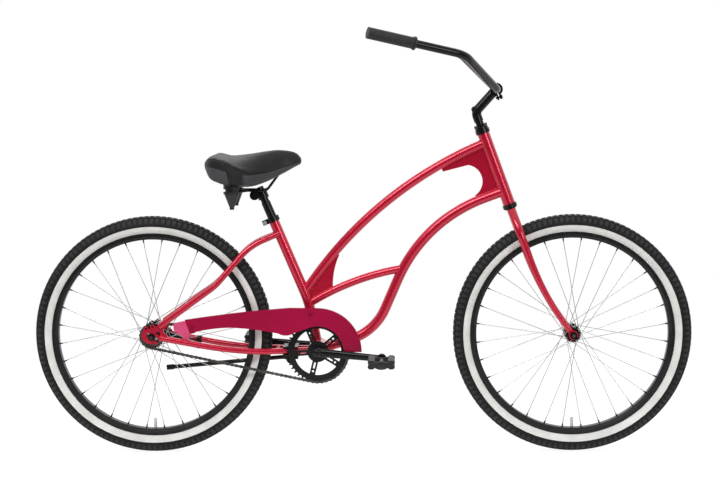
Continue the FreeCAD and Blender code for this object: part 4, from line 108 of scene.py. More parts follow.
class Shader:
    """A principled material with short calls for the nodes that colour it and give it relief."""

    def __init__(self, name, **sockets):
        self.material = bpy.data.materials.new(name)
        self.material.use_nodes = True
        self.tree = self.material.node_tree
        self.skin = self.tree.nodes["Principled BSDF"]
        for socket, value in sockets.items():
            self.skin.inputs[socket.replace("_", " ")].default_value = value
        self.place = self.node("ShaderNodeTexCoord").outputs["Object"]

    def node(self, kind, **settings):
        item = self.tree.nodes.new(kind)
        for key, value in settings.items():
            setattr(item, key, value)
        return item

    def link(self, source, target):
        self.tree.links.new(source, target)

    def noise(self, scale, detail=4.0):
        item = self.node("ShaderNodeTexNoise")
        item.inputs["Scale"].default_value = scale
        item.inputs["Detail"].default_value = detail
        self.link(self.place, item.inputs["Vector"])
        return item.outputs["Fac"]

    def cells(self, scale, feature="F1"):
        item = self.node("ShaderNodeTexVoronoi", feature=feature)
        item.inputs["Scale"].default_value = scale
        self.link(self.place, item.inputs["Vector"])
        return item.outputs["Distance"]

    def ramp(self, factor, *stops):
        item = self.node("ShaderNodeValToRGB")
        steps = item.color_ramp.elements
        while len(steps) < len(stops):
            steps.new(0.5)
        for step, (position, colour) in zip(steps, stops):
            step.position = position
            step.color = (*colour, 1.0)
        self.link(factor, item.inputs["Fac"])
        return item.outputs["Color"]

    def shades(self, factor, dark, light):
        """Colours from dark to light over the middle of a noise."""
        return self.ramp(factor, (NOISE_LOW, dark), (NOISE_HIGH, light))

    def spread(self, factor, low, high):
        item = self.node("ShaderNodeMapRange")
        item.inputs["To Min"].default_value = low
        item.inputs["To Max"].default_value = high
        self.link(factor, item.inputs["Value"])
        return item.outputs["Result"]

    def math(self, operation, first, second):
        item = self.node("ShaderNodeMath", operation=operation)
        for socket, value in zip(item.inputs, (first, second)):
            if isinstance(value, (int, float)):
                socket.default_value = value
            else:
                self.link(value, socket)
        return item.outputs["Value"]

    def along(self, direction):
        """Distance along a direction, for bands across a long piece."""
        item = self.node("ShaderNodeVectorMath", operation="DOT_PRODUCT")
        item.inputs[1].default_value = direction
        self.link(self.place, item.inputs[0])
        return item.outputs["Value"]

    def axle_distance(self, centre):
        """Distance from a wheel's axle."""
        offset = self.node("ShaderNodeVectorMath", operation="SUBTRACT")
        offset.inputs[1].default_value = centre
        self.link(self.place, offset.inputs[0])
        flat = self.node("ShaderNodeVectorMath", operation="MULTIPLY")
        flat.inputs[1].default_value = (1.0, 0.0, 1.0)
        self.link(offset.outputs["Vector"], flat.inputs[0])
        length = self.node("ShaderNodeVectorMath", operation="LENGTH")
        self.link(flat.outputs["Vector"], length.inputs[0])
        return length.outputs["Value"]

    def mixed(self, share, first, second):
        item = self.node("ShaderNodeMix", data_type="RGBA")
        self.link(share, item.inputs["Factor"])
        self.link(first, item.inputs[MIX_COLOUR_A])
        self.link(second, item.inputs[MIX_COLOUR_B])
        return item.outputs[MIX_COLOUR_RESULT]

    def colour(self, source):
        self.link(source, self.skin.inputs["Base Color"])

    def roughness(self, source):
        self.link(source, self.skin.inputs["Roughness"])

    def relief(self, height, strength, depth):
        item = self.node("ShaderNodeBump")
        item.inputs["Strength"].default_value = strength
        item.inputs["Distance"].default_value = depth
        self.link(height, item.inputs["Height"])
        self.link(item.outputs["Normal"], self.skin.inputs["Normal"])


def gloss_paint(name, dark, light, metal, coat):
    """Sprayed paint with fine flake under a clear coat."""
    shader = Shader(name, Metallic=metal, Coat_Weight=coat, Coat_Roughness=0.16,
                    Specular_IOR_Level=0.2)
    flake = shader.cells(5200.0)
    cloud = shader.noise(7.0, 2.0)
    mixed = shader.math("ADD", shader.math("MULTIPLY", flake, FLAKE_SHARE),
                        shader.math("MULTIPLY", cloud, 1.0 - FLAKE_SHARE))
    shader.colour(shader.ramp(mixed, (0.25, dark), (0.75, light)))
    shader.roughness(shader.spread(shader.noise(60.0), 0.24, 0.32))
    return shader.material


def guard_finish():
    """Deep crimson guard whose rear clip is a paler pink."""
    shader = Shader("guard_paint", Metallic=0.1, Coat_Weight=0.2, Coat_Roughness=0.06,
                    Specular_IOR_Level=0.2)
    cloud = shader.noise(9.0, 3.0)
    deep = shader.shades(cloud, (0.350, 0.0010, 0.040), (0.410, 0.0020, 0.052))
    fresh = shader.shades(cloud, (0.72, 0.075, 0.205), (0.80, 0.105, 0.250))
    clip = shader.math("LESS_THAN", shader.along((1.0, 0.0, CLIP_LEAN)), GUARD_CLIP_PLACE)
    shader.colour(shader.mixed(clip, deep, fresh))
    shader.roughness(shader.spread(shader.noise(70.0), 0.26, 0.38))
    return shader.material


def fastener_metal():
    """Screws: painted on the chain guard, bright at the seat collar and black lower down."""
    shader = Shader("fastener_metal", Metallic=0.6)
    shade = shader.noise(80.0, 5.0)
    bright = shader.shades(shade, (0.52, 0.52, 0.53), (0.70, 0.70, 0.71))
    black = shader.shades(shade, (0.016, 0.016, 0.017), (0.034, 0.034, 0.035))
    painted = shader.shades(shade, (0.30, 0.001, 0.030), (0.40, 0.002, 0.045))
    high = shader.math("GREATER_THAN", shader.along((0.0, 0.0, 1.0)), COLLAR_SCREW_HEIGHT)
    outside = shader.math("LESS_THAN", shader.along((0.0, 1.0, 0.0)), GUARD_SIDE)
    shader.colour(shader.mixed(outside, shader.mixed(high, black, bright), painted))
    shader.roughness(shader.spread(shader.noise(160.0), 0.2, 0.36))
    return shader.material


def black_finish(name, tone, rough, metal, coat):
    """Black parts: paint or anodising with faint orange peel and worn spots."""
    shader = Shader(name, Metallic=metal, Coat_Weight=coat, Coat_Roughness=0.05, Specular_IOR_Level=0.18)
    wear = shader.noise(38.0, 6.0)
    shader.colour(shader.shades(wear, (tone * 0.8,) * 3, (tone * 1.2, tone * 1.2, tone * 1.24)))
    shader.roughness(shader.spread(shader.noise(90.0), rough * 0.8, rough * 1.2))
    shader.relief(shader.noise(420.0, 2.0), 0.05, 0.0005)
    return shader.material


def bare_metal(name, dark, light, rough):
    """Plated steel with fine scratches."""
    shader = Shader(name, Metallic=1.0)
    shader.colour(shader.shades(shader.noise(55.0, 6.0), dark, light))
    shader.roughness(shader.spread(shader.noise(160.0), rough * 0.7, rough * 1.3))
    return shader.material


def spoke_metal(name, centre):
    """Bright spokes with black nipples at the rim."""
    shader = Shader(name, Metallic=0.9)
    reach = shader.axle_distance(centre)
    shade = shader.math("MULTIPLY", shader.noise(70.0), 0.04)
    place = shader.math("ADD", shader.math("MULTIPLY", reach, REACH_SCALE), shade)
    nipple_start = REACH_SCALE * (TYRE_CORE - TYRE_SECTION * NIPPLE_DEPTH_SHARE)
    shader.colour(shader.ramp(place, (0.0, (0.50, 0.50, 0.51)),
                              (nipple_start - NIPPLE_BEFORE, (0.62, 0.62, 0.63)),
                              (nipple_start + NIPPLE_AFTER, (0.015, 0.015, 0.016))))
    shader.roughness(shader.spread(shader.noise(200.0), 0.22, 0.4))
    return shader.material


def rubber(name, tone, grain):
    """Dull black rubber; a higher grain gives a finer surface."""
    shader = Shader(name, Specular_IOR_Level=0.25)
    shader.colour(shader.ramp(shader.noise(30.0, 6.0), (0.3, (tone * 0.8,) * 3),
                              (0.75, (tone * 1.3,) * 3)))
    shader.roughness(shader.spread(shader.noise(120.0), 0.55, 0.75))
    shader.relief(shader.noise(grain, 3.0), 0.25, 0.0006)
    return shader.material


def band_rubber():
    """The off-white side band of the tyres, a little soiled."""
    shader = Shader("tyre_band", Specular_IOR_Level=0.3)
    shader.colour(shader.ramp(shader.noise(22.0, 8.0), (0.3, (0.72, 0.71, 0.68)),
                              (0.65, (0.84, 0.835, 0.81))))
    shader.roughness(shader.spread(shader.noise(90.0), 0.5, 0.7))
    shader.relief(shader.noise(700.0, 2.0), 0.1, 0.0004)
    return shader.material


def grip_rubber(side):
    """Soft rubber with fine grooves round the grip."""
    low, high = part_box(f"grip_{side}")
    sign = -1.0 if side == "right" else 1.0
    reach = Vector((low.x - high.x, sign * (high.y - low.y), high.z - low.z)).normalized()
    shader = Shader(f"grip_rubber_{side}", Specular_IOR_Level=0.35)
    groove_rate = math.tau / GRIP_GROOVE_PITCH
    wave = shader.math("SINE", shader.math("MULTIPLY", shader.along(reach), groove_rate), 0.0)
    shader.colour(shader.shades(shader.noise(60.0, 5.0), (0.020, 0.020, 0.021), (0.034, 0.033, 0.034)))
    shader.roughness(shader.spread(shader.noise(140.0), 0.5, 0.68))
    height = shader.math("ADD", wave, shader.math("MULTIPLY", shader.noise(900.0, 2.0), 0.8))
    shader.relief(height, 0.35, 0.0006)
    return shader.material


def saddle_vinyl():
    """Grained vinyl in a dark top colour, with a dark strip down each side; the rear and side panels below a
    line under the crease are painted lighter, as painted reflected light from the floor.
    """
    shader = Shader("saddle_vinyl", Specular_IOR_Level=0.2)
    length = shader.math("MULTIPLY", shader.math("SUBTRACT", shader.along((1.0, 0.0, 0.0)), SADDLE_TAIL.x),
                         1.0 / SADDLE_LENGTH)
    height = shader.math("MULTIPLY", shader.math("SUBTRACT", shader.along((0.0, 0.0, 1.0)), SADDLE_TAIL.z),
                         1.0 / SADDLE_DEPTH)
    stops = [(place, (share,) * 3) for place, share in zip(STATION_SHARES, LIT_PANEL_SHARES)]
    edge = shader.ramp(length, *stops)
    below = shader.math("LESS_THAN", height, edge)
    lean = shader.math("MULTIPLY", shader.math("SUBTRACT", edge, height), STRIP_REAR[1] - STRIP_REAR[0])
    rear = shader.math("LESS_THAN", shader.math("SUBTRACT", length, lean), STRIP_REAR[0])
    front = shader.math("GREATER_THAN", length, STRIP_FRONT[0])
    lit_panel_mask = shader.math("MULTIPLY", below, shader.math("MAXIMUM", rear, front))
    cloud = shader.noise(16.0, 6.0)
    top = shader.shades(cloud, (0.013, 0.013, 0.014), (0.021, 0.021, 0.022))
    # Painted light: the lighter grey of the rear and side panels stands in for light reflected up from the
    # floor
    side = shader.shades(cloud, (0.055, 0.054, 0.060), (0.074, 0.073, 0.080))
    shader.colour(shader.mixed(lit_panel_mask, top, side))
    shader.roughness(shader.spread(shader.noise(45.0), 0.44, 0.58))
    pores = shader.math("MULTIPLY", shader.noise(260.0), 0.6)
    grain = shader.math("ADD", shader.cells(620.0, "SMOOTH_F1"), pores)
    shader.relief(grain, 0.3, 0.0007)
    return shader.material


def plastic(name, tone):
    """Moulded plastic with a faint grain."""
    shader = Shader(name)
    shader.colour(shader.shades(shader.noise(40.0, 4.0), (tone * 0.85,) * 3, (tone * 1.2,) * 3))
    shader.roughness(shader.spread(shader.noise(110.0), 0.36, 0.52))
    shader.relief(shader.noise(800.0, 2.0), 0.12, 0.0003)
    return shader.material


frame_paint = gloss_paint("frame_paint", (0.50, 0.002, 0.026), (0.62, 0.005, 0.042), 0.35, 0.85)
guard_paint = guard_finish()
screw_metal = fastener_metal()
black_paint = black_finish("black_paint", 0.007, 0.24, 0.0, 0.12)
black_alloy = black_finish("black_alloy", 0.014, 0.42, 0.2, 0.2)
bright_steel = bare_metal("bright_steel", (0.50, 0.50, 0.51), (0.68, 0.68, 0.69), 0.28)
dark_steel = bare_metal("dark_steel", (0.065, 0.060, 0.055), (0.16, 0.15, 0.14), 0.36)
tread_rubber = rubber("tread_rubber", 0.008, 300.0)
# Block tops: lighter rubber, partly wear and partly painted light, lighter than the grooves where shade falls
worn_lit_rubber = rubber("worn_lit_rubber", 0.030, 420.0)
foot_rubber = rubber("foot_rubber", 0.014, 500.0)
tyre_band = band_rubber()
saddle_cloth = saddle_vinyl()
saddle_thread = rubber("saddle_thread", 0.022, 1500.0)
black_plastic = plastic("black_plastic", 0.014)


def dress(material, *names):
    """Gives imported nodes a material."""
    for name in names:
        nodes[name].data.materials.clear()
        nodes[name].data.materials.append(material)


def dress_frame():
    """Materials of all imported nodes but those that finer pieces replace."""
    dress(frame_paint, "head_tube", "top_tube", "down_tube", "cross_tube", "seat_tube",
          "bottom_bracket_shell", "chain_stay_left", "chain_stay_right", "seat_stay_left", "seat_stay_right",
          "dropout_left", "dropout_right", "gussets", "stay_bridge", "fork_blade_left", "fork_blade_right",
          "fork_steerer")
    dress(guard_paint, "chain_guard")
    dress(screw_metal, "frame_fasteners")
    dress(black_paint, "bearing_cups", "headset_races", "crank", "chainring", "bracket_cones", "handlebar",
          "stem", "seat_post", "saddle_clamp", "seat_collar", "saddle_rails", "brake_arm",
          "kickstand_bracket", "kickstand_leg", "front_hub", "rear_hub", "front_axle_nuts",
          "rear_axle_nuts")
    dress(black_alloy, "front_rim", "rear_rim")
    dress(bright_steel, "frame_balls", "hub_driver", "front_tube", "rear_tube")
    dress(dark_steel, "chain", "rear_sprocket", "front_axle", "rear_axle", "pedal_axles")
    dress(foot_rubber, "kickstand_foot")
    dress(black_plastic, "saddle_dampers")
    for name, centre in WHEELS.items():
        dress(spoke_metal(f"{name}_spoke_metal", centre), f"{name}_spokes")
    for side in ("left", "right"):
        dress(grip_rubber(side), f"grip_{side}")


# Pieces


def add_piece(name, mesh, body, *materials):
    """Puts a finished mesh into the scene as a piece that moves with a body."""
    piece = bpy.data.objects.new(name, mesh)
    bpy.context.collection.objects.link(piece)
    for material in materials:
        mesh.materials.append(material)
    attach(piece, body)
    return piece


def mesh_from(name, form):
    """Turns a bmesh into a mesh with smooth faces that all point outwards."""
    bmesh.ops.recalc_face_normals(form, faces=form.faces)
    mesh = bpy.data.meshes.new(name)
    form.to_mesh(mesh)
    form.free()
    for face in mesh.polygons:
        face.use_smooth = True
    return mesh


# Tyres with raised tread blocks

TYRE_STEPS = 192
TREAD_STEPS = 128
TREAD_DEPTH_SHARE = 0.055
TREAD_EDGE = math.radians(56.0)
TREAD_EDGE_WIDTH = math.radians(26.0)
BLOCK_SINK = 0.985
BLOCK_TOP_SCALE = 0.88
BLOCK_TOP_PULL = 0.12
CARCASS_FACE_AREA = 0.00002
RIDGE_START = math.radians(92.5)
RIDGE_END = math.radians(93.5)
RIDGE_SHARE = 0.012
BAND_START = math.radians(93.0)
BAND_END = math.radians(139.0)
TREAD_SLOT = 0
BAND_SLOT = 1
# Slot of the lighter block tops: wear together with painted light
WORN_LIT_SLOT = 2
SECTION_DEGREES = (0, 14, 28, 42, 56, 70, 80, 84, 92, 93, 94, 102, 112, 122, 132, 138, 139, 140, 142.5)
CENTRE_BLOCK = ((-0.40, -6), (0.10, -11), (0.40, -2), (0.40, 6), (-0.10, 11), (-0.40, 2))
MIDDLE_BLOCK = ((-0.42, 15), (0.20, 13), (0.44, 22), (0.30, 33), (-0.24, 35), (-0.46, 24))
SHOULDER_BLOCK = ((-0.40, 40), (0.36, 38), (0.44, 52), (0.12, 79), (-0.10, 79), (-0.46, 54))


def tyre_point(centre, turn, lean, depth):
    """A point of the tyre at a turn round the axle and a lean across the section."""
    reach = TYRE_CORE + depth * math.cos(lean)
    return centre + Vector((reach * math.cos(turn), depth * math.sin(lean), reach * math.sin(turn)))


def section_depth(lean):
    """Height of the carcass over the section's middle: lower under the tread, full on the side wall."""
    rise = min(max((abs(lean) - TREAD_EDGE) / TREAD_EDGE_WIDTH, 0.0), 1.0)
    ridge = RIDGE_SHARE if RIDGE_START < abs(lean) < RIDGE_END else 0.0
    return TYRE_SECTION * (1.0 - TREAD_DEPTH_SHARE * (1.0 - rise * rise * (3.0 - 2.0 * rise)) + ridge)


def tyre_carcass(form, centre):
    """The round tyre with its side bands, before it gets tread blocks."""
    half = [math.radians(degrees) for degrees in SECTION_DEGREES]
    leans = [-lean for lean in reversed(half[1:])] + half
    rings = []
    for step in range(TYRE_STEPS):
        turn = math.tau * step / TYRE_STEPS
        rings.append([form.verts.new(tyre_point(centre, turn, lean, section_depth(lean))) for lean in leans])
    for step, ring in enumerate(rings):
        after = rings[(step + 1) % TYRE_STEPS]
        for index in range(len(leans) - 1):
            face = form.faces.new((ring[index], ring[index + 1], after[index + 1], after[index]))
            middle = abs(leans[index] + leans[index + 1]) / 2
            face.material_index = BAND_SLOT if BAND_START < middle < BAND_END else TREAD_SLOT


def tread_block(form, centre, turn, step_turn, outline, mirror):
    """One raised block with sloping sides, its outline in shares of the step and degrees of lean."""
    middle = sum(lean for _, lean in outline) / len(outline)
    foot = []
    top = []
    for share, lean in outline:
        low_lean = math.radians(mirror * lean)
        top_lean = math.radians(mirror * (lean + (middle - lean) * BLOCK_TOP_PULL))
        low_turn = turn + share * step_turn
        top_turn = turn + share * BLOCK_TOP_SCALE * step_turn
        depth = section_depth(low_lean) * BLOCK_SINK
        foot.append(form.verts.new(tyre_point(centre, low_turn, low_lean, depth)))
        top.append(form.verts.new(tyre_point(centre, top_turn, top_lean, TYRE_SECTION)))
    # Block tops get the lighter rubber: wear together with painted light
    form.faces.new(top).material_index = WORN_LIT_SLOT
    for index in range(len(top)):
        after = (index + 1) % len(top)
        form.faces.new((foot[index], foot[after], top[after], top[index]))


def make_tyre(name, centre):
    """The carcass and tread blocks of one wheel; only the carcass is shaded smooth."""
    form = bmesh.new()
    tyre_carcass(form, centre)
    step_turn = math.tau / TREAD_STEPS
    half_turn = step_turn / 2
    for step in range(TREAD_STEPS):
        turn = step * step_turn
        tread_block(form, centre, turn, step_turn, CENTRE_BLOCK, 1)
        for mirror in (-1, 1):
            shift = half_turn if mirror > 0 else 0.0
            tread_block(form, centre, turn + shift + half_turn, step_turn, MIDDLE_BLOCK, mirror)
            tread_block(form, centre, turn + shift, step_turn, SHOULDER_BLOCK, mirror)
    mesh = mesh_from(f"{name}_tyre_form", form)
    for face in mesh.polygons:
        face.use_smooth = len(face.vertices) == 4 and face.area > CARCASS_FACE_AREA
    piece = add_piece(f"{name}_tyre_tread", mesh, f"{name}_wheel", tread_rubber, tyre_band, worn_lit_rubber)
    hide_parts(f"{name}_tyre")


# Saddle cover with its panels and seams, and the base under it

PUFF_FRAMES = 20
PUFF_PRESSURE = 4.0
RELAX_ROUNDS = 4
SADDLE_VOXEL = 0.004
SADDLE_SWELL = 0.003
SADDLE_STEPS = 64
ARCH_POWER = 1.7
ARCH_SIDES = (1.0, 0.93, 0.84, 0.72, 0.56, 0.38, 0.19, 0.0)
SKIRT_SHARE = 0.93
STATION_SLACK = 1e-9


def even_places(start, span, steps):
    """Shares at even distances, from start over a span."""
    return [start + span * step / steps for step in range(steps + 1)]


def smooth_share(shares, place):
    """Value at a place between 0 and 1 on a smooth curve through the shares at the stations."""
    last = len(STATION_SHARES) - 2
    index = max(i for i in range(last + 1) if STATION_SHARES[i] <= place + STATION_SLACK)
    x0, x1 = STATION_SHARES[index], STATION_SHARES[index + 1]
    y0, y1 = shares[index], shares[index + 1]

    def slope(at):
        if at in (0, len(shares) - 1):
            near = 1 if at == 0 else len(shares) - 2
            return (shares[near] - shares[at]) / (STATION_SHARES[near] - STATION_SHARES[at])
        return (shares[at + 1] - shares[at - 1]) / (STATION_SHARES[at + 1] - STATION_SHARES[at - 1])

    span = x1 - x0
    part = (place - x0) / span
    rise = part * part * (3.0 - 2.0 * part)
    lead = slope(index) * span * part * (1.0 - part) ** 2
    trail = slope(index + 1) * span * part * part * (1.0 - part)
    return y0 + (y1 - y0) * rise + lead - trail


def saddle_spot(place, side, height):
    """A point at shares of the saddle's length, of its half width there and of its depth."""
    half = smooth_share(WIDTH_SHARES, place) * SADDLE_WIDTH / 2
    return SADDLE_TAIL + Vector((place * SADDLE_LENGTH, side * half, height * SADDLE_DEPTH))


def saddle_ring(place):
    """Section of the cover: a skirt up to the crease, then an arch over the crown."""
    foot = smooth_share(FOOT_SHARES, place)
    crease = smooth_share(CREASE_SHARES, place)
    top = smooth_share(TOP_SHARES, place)
    half = [(SKIRT_SHARE, foot), (1.0, (foot + crease) / 2)]
    half += [(side, crease + (top - crease) * (1.0 - side ** ARCH_POWER)) for side in ARCH_SIDES]
    return half + [(-side, height) for side, height in reversed(half[:-1])]


def saddle_block():
    """The closed form of the cover before it is puffed up."""
    form = bmesh.new()
    rings = []
    for step in range(SADDLE_STEPS + 1):
        place = 0.5 - 0.5 * math.cos(math.pi * step / SADDLE_STEPS)
        rings.append([form.verts.new(saddle_spot(place, *corner)) for corner in saddle_ring(place)])
    close_rings(form, rings)
    return mesh_from("saddle_block", form)


def close_rings(form, rings):
    """Joins rings of points into a closed skin with a face over each end."""
    count = len(rings[0])
    for ring, after in zip(rings, rings[1:]):
        for index in range(count):
            following = (index + 1) % count
            form.faces.new((ring[index], ring[following], after[following], after[index]))
    form.faces.new(rings[0])
    form.faces.new(rings[-1])


def apply_modifiers(piece):
    """Makes the shape that the modifiers give the piece its own mesh."""
    graph = bpy.context.evaluated_depsgraph_get()
    mesh = bpy.data.meshes.new_from_object(piece.evaluated_get(graph))
    piece.modifiers.clear()
    piece.data = mesh


def puff(piece):
    """Swells the cover with air pressure, with the travel of each point capped."""
    start = [vertex.co.copy() for vertex in piece.data.vertices]
    cloth = piece.modifiers.new("air", "CLOTH")
    cloth.settings.use_pressure = True
    cloth.settings.uniform_pressure_force = PUFF_PRESSURE
    cloth.settings.effector_weights.gravity = 0.0
    scene = bpy.context.scene
    for moment in range(1, PUFF_FRAMES + 1):
        scene.frame_set(moment)
    apply_modifiers(piece)
    scene.frame_set(1)
    for vertex, origin in zip(piece.data.vertices, start):
        travel = vertex.co - origin
        if travel.length > SADDLE_SWELL:
            vertex.co = origin + travel.normalized() * SADDLE_SWELL


SEAM_RADIUS = 0.0011
SEAM_SIDES = 6
CREASE_SEAM = even_places(0.035, 0.92, 70)
STRIP_SEAM = even_places(0.02, 0.95, 14)


def seam_path(pad, points):
    """Points laid on the finished cover, with the cover's outward direction at each."""
    laid = []
    for point in points:
        _, spot, normal, _ = pad.closest_point_on_mesh(point)
        laid.append((spot, normal))
    return laid


def seam_tube(form, laid):
    """A thin tube along points laid on the cover."""
    rings = []
    for index, (spot, normal) in enumerate(laid):
        before = laid[max(index - 1, 0)][0]
        after = laid[min(index + 1, len(laid) - 1)][0]
        along = (after - before).normalized()
        across = along.cross(normal).normalized()
        ring = []
        for step in range(SEAM_SIDES):
            turn = math.tau * step / SEAM_SIDES
            outward = across * math.cos(turn) + normal * math.sin(turn)
            ring.append(form.verts.new(spot + outward * SEAM_RADIUS))
        rings.append(ring)
    close_rings(form, rings)


def crease_point(place, mirror, drop=0.0):
    """A point on the crease of one side, or lower on the skirt by a share."""
    foot = smooth_share(FOOT_SHARES, place)
    crease = smooth_share(CREASE_SHARES, place)
    return saddle_spot(place, mirror, crease + (foot - crease) * drop)


def make_seams(pad):
    """Piping along the crease on both sides and down both edges of the strip behind the side panel."""
    form = bmesh.new()
    for mirror in (-1.0, 1.0):
        seam_tube(form, seam_path(pad, [crease_point(place, mirror) for place in CREASE_SEAM]))
        for upper, lower in (STRIP_REAR, STRIP_FRONT):
            points = [crease_point(upper + (lower - upper) * down, mirror, down) for down in STRIP_SEAM]
            seam_tube(form, seam_path(pad, points))
    piece = add_piece("saddle_seams", mesh_from("saddle_seams", form), "saddle", saddle_thread)


def make_saddle():
    """The cover, evened out, puffed up and smoothed, with its seams."""
    pad = add_piece("saddle_pad", saddle_block(), "saddle")
    even = pad.modifiers.new("even", "REMESH")
    even.mode = "VOXEL"
    even.voxel_size = SADDLE_VOXEL
    apply_modifiers(pad)
    puff(pad)
    relax = pad.modifiers.new("relax", "SMOOTH")
    relax.iterations = RELAX_ROUNDS
    finer = pad.modifiers.new("finer", "SUBSURF")
    finer.levels = 1
    apply_modifiers(pad)
    for face in pad.data.polygons:
        face.use_smooth = True
    pad.data.materials.clear()
    pad.data.materials.append(saddle_cloth)
    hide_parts("saddle_cover")
    make_seams(pad)


BASE_PLACES = even_places(0.05, 0.9, 30)
BASE_SIDES = (-0.84, -0.5, 0.0, 0.5, 0.84)
BASE_RISE = 0.05
BASE_DEPTH = 0.035
BASE_SINK = 0.4


def make_saddle_base():
    """Moulded tray that closes the cover from below."""
    form = bmesh.new()
    rings = []
    for place in BASE_PLACES:
        foot = smooth_share(FOOT_SHARES, place)
        floors = [(side, foot + BASE_RISE * side * side) for side in BASE_SIDES]
        lower = [saddle_spot(place, side, floor - BASE_DEPTH * BASE_SINK) for side, floor in floors]
        upper = [saddle_spot(place, side, floor + BASE_DEPTH) for side, floor in reversed(floors)]
        rings.append([form.verts.new(corner) for corner in lower + upper])
    close_rings(form, rings)
    piece = add_piece("saddle_base", mesh_from("saddle_base", form), "saddle", black_plastic)
    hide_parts("saddle_pan")


# Pedals with ribbed tread blocks between lobed end plates

PEDAL_PLATE = ((-1.0, -0.5), (-0.9, -0.93), (-0.66, -1.0), (-0.47, -0.72), (-0.27, -0.98), (0.0, -1.08),
               (0.27, -0.98), (0.47, -0.72), (0.66, -1.0), (0.9, -0.93), (1.0, -0.5), (0.92, 0.0), (1.0, 0.5),
               (0.9, 0.93), (0.62, 1.0), (0.40, 0.60), (0.0, 0.50), (-0.40, 0.60), (-0.62, 1.0), (-0.9, 0.93),
               (-1.0, 0.5), (-0.92, 0.0))
PEDAL_BLOCK = ((0.48, -0.82), (0.72, -0.97), (0.95, -0.85), (0.98, -0.42), (0.87, 0.0), (0.98, 0.42),
               (0.95, 0.85), (0.72, 0.97), (0.48, 0.82), (0.55, 0.35), (0.58, 0.0), (0.55, -0.35))
PEDAL_BARREL = ((0.0, 0.48), (0.04, 0.54), (0.10, 0.42), (0.5, 0.38), (0.885, 0.42), (0.89, 0.80),
                (0.905, 0.88), (0.985, 0.88), (0.995, 0.83), (1.0, 0.74))
PEDAL_RIBS = 8
PEDAL_PLATE_SHARE = 0.075
PEDAL_PLATE_INSET = 0.03
PEDAL_GROOVE_SCALE = 0.86
PLATE_STOPS = ((0.0, 0.95), (0.25, 1.0), (0.75, 1.0), (1.0, 0.95))
RIB_STOPS = ((0.0, PEDAL_GROOVE_SCALE), (0.16, PEDAL_GROOVE_SCALE), (0.28, 1.0), (0.88, 1.0),
             (0.99, PEDAL_GROOVE_SCALE))
PEDAL_CORNER = math.radians(40.0)
ROUND_STEPS = 4
BARREL_SIDES = 28


def rounded_loop(corners):
    """Closed smooth line through corners."""
    count = len(corners)
    loop = []
    for index in range(count):
        p0, p1, p2, p3 = (Vector(corners[(index + shift) % count]) for shift in (-1, 0, 1, 2))
        for step in range(ROUND_STEPS):
            s = step / ROUND_STEPS
            lead = (p2 - p0) * 0.5
            trail = (p3 - p1) * 0.5
            loop.append(p1 * (2 * s ** 3 - 3 * s ** 2 + 1) + lead * (s ** 3 - 2 * s ** 2 + s)
                        + p2 * (3 * s ** 2 - 2 * s ** 3) + trail * (s ** 3 - s ** 2))
    return loop


def make_pedal(side):
    """Two end plates, two ribbed blocks and the barrel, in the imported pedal's box."""
    low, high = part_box(f"{side}_pedal")
    middle = (low + high) / 2
    reach = (high - low) / 2
    form = bmesh.new()

    def ring(loop, across, scale):
        centre = Vector((sum(spot.x for spot in loop), sum(spot.y for spot in loop))) / len(loop)
        spots = [centre + (spot - centre) * scale for spot in loop]
        depth = low.y + (high.y - low.y) * across
        return [form.verts.new((middle.x + spot.x * reach.x, depth, middle.z + spot.y * reach.z))
                for spot in spots]

    plate = rounded_loop(PEDAL_PLATE)
    for start in (PEDAL_PLATE_INSET, 1.0 - PEDAL_PLATE_SHARE - PEDAL_PLATE_INSET):
        rings = [ring(plate, start + PEDAL_PLATE_SHARE * part, scale) for part, scale in PLATE_STOPS]
        close_rings(form, rings)
    for mirror in (-1.0, 1.0):
        block = rounded_loop([(mirror * corner[0], corner[1]) for corner in PEDAL_BLOCK])
        rings = []
        width = (1.0 - 2.0 * (PEDAL_PLATE_SHARE + PEDAL_PLATE_INSET)) / PEDAL_RIBS
        for rib in range(PEDAL_RIBS):
            start = PEDAL_PLATE_SHARE + PEDAL_PLATE_INSET + rib * width
            rings += [ring(block, start + width * part, scale) for part, scale in RIB_STOPS]
        close_rings(form, rings)
    barrel = [Vector((math.cos(math.tau * step / BARREL_SIDES) * reach.z / reach.x,
                      math.sin(math.tau * step / BARREL_SIDES))) for step in range(BARREL_SIDES)]
    stops = PEDAL_BARREL
    if side == "right":
        stops = [(1.0 - place, size) for place, size in reversed(PEDAL_BARREL)]
    close_rings(form, [ring(barrel, place, size) for place, size in stops])
    mesh = mesh_from(f"{side}_pedal_form", form)
    piece = add_piece(f"{side}_pedal_treads", mesh, f"{side}_pedal", black_plastic)
    piece.modifiers.new("edges", "EDGE_SPLIT").split_angle = PEDAL_CORNER
    apply_modifiers(piece)
    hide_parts(f"{side}_pedal")


# Camera, light and stage

CAMERA_PLACE = Vector((0.1263, -5.6668, 1.1471))
CAMERA_YAW = math.radians(1.333)
CAMERA_PITCH = math.radians(5.592)
CAMERA_ROLL = math.radians(-0.382)
FOCAL_PIXELS = 2053.4
IMAGE_WIDTH = 720
SENSOR = 36.0
VIEW_DEPTH = 100.0


def make_camera():
    """The camera that was fitted to the photograph."""
    ahead = Vector((-math.sin(CAMERA_YAW) * math.cos(CAMERA_PITCH),
                    math.cos(CAMERA_YAW) * math.cos(CAMERA_PITCH), -math.sin(CAMERA_PITCH)))
    level = Vector((math.cos(CAMERA_YAW), math.sin(CAMERA_YAW), 0.0))
    upright = level.cross(ahead)
    right = level * math.cos(CAMERA_ROLL) + upright * math.sin(CAMERA_ROLL)
    data = bpy.data.cameras.new("camera")
    data.sensor_width = SENSOR
    data.lens = FOCAL_PIXELS * SENSOR / IMAGE_WIDTH
    data.clip_end = VIEW_DEPTH
    camera = bpy.data.objects.new("camera", data)
    bpy.context.collection.objects.link(camera)
    up = right.cross(ahead)
    camera.matrix_world = Matrix.LocRotScale(CAMERA_PLACE, Matrix((right, up, -ahead)).transposed(), None)
    bpy.context.scene.camera = camera


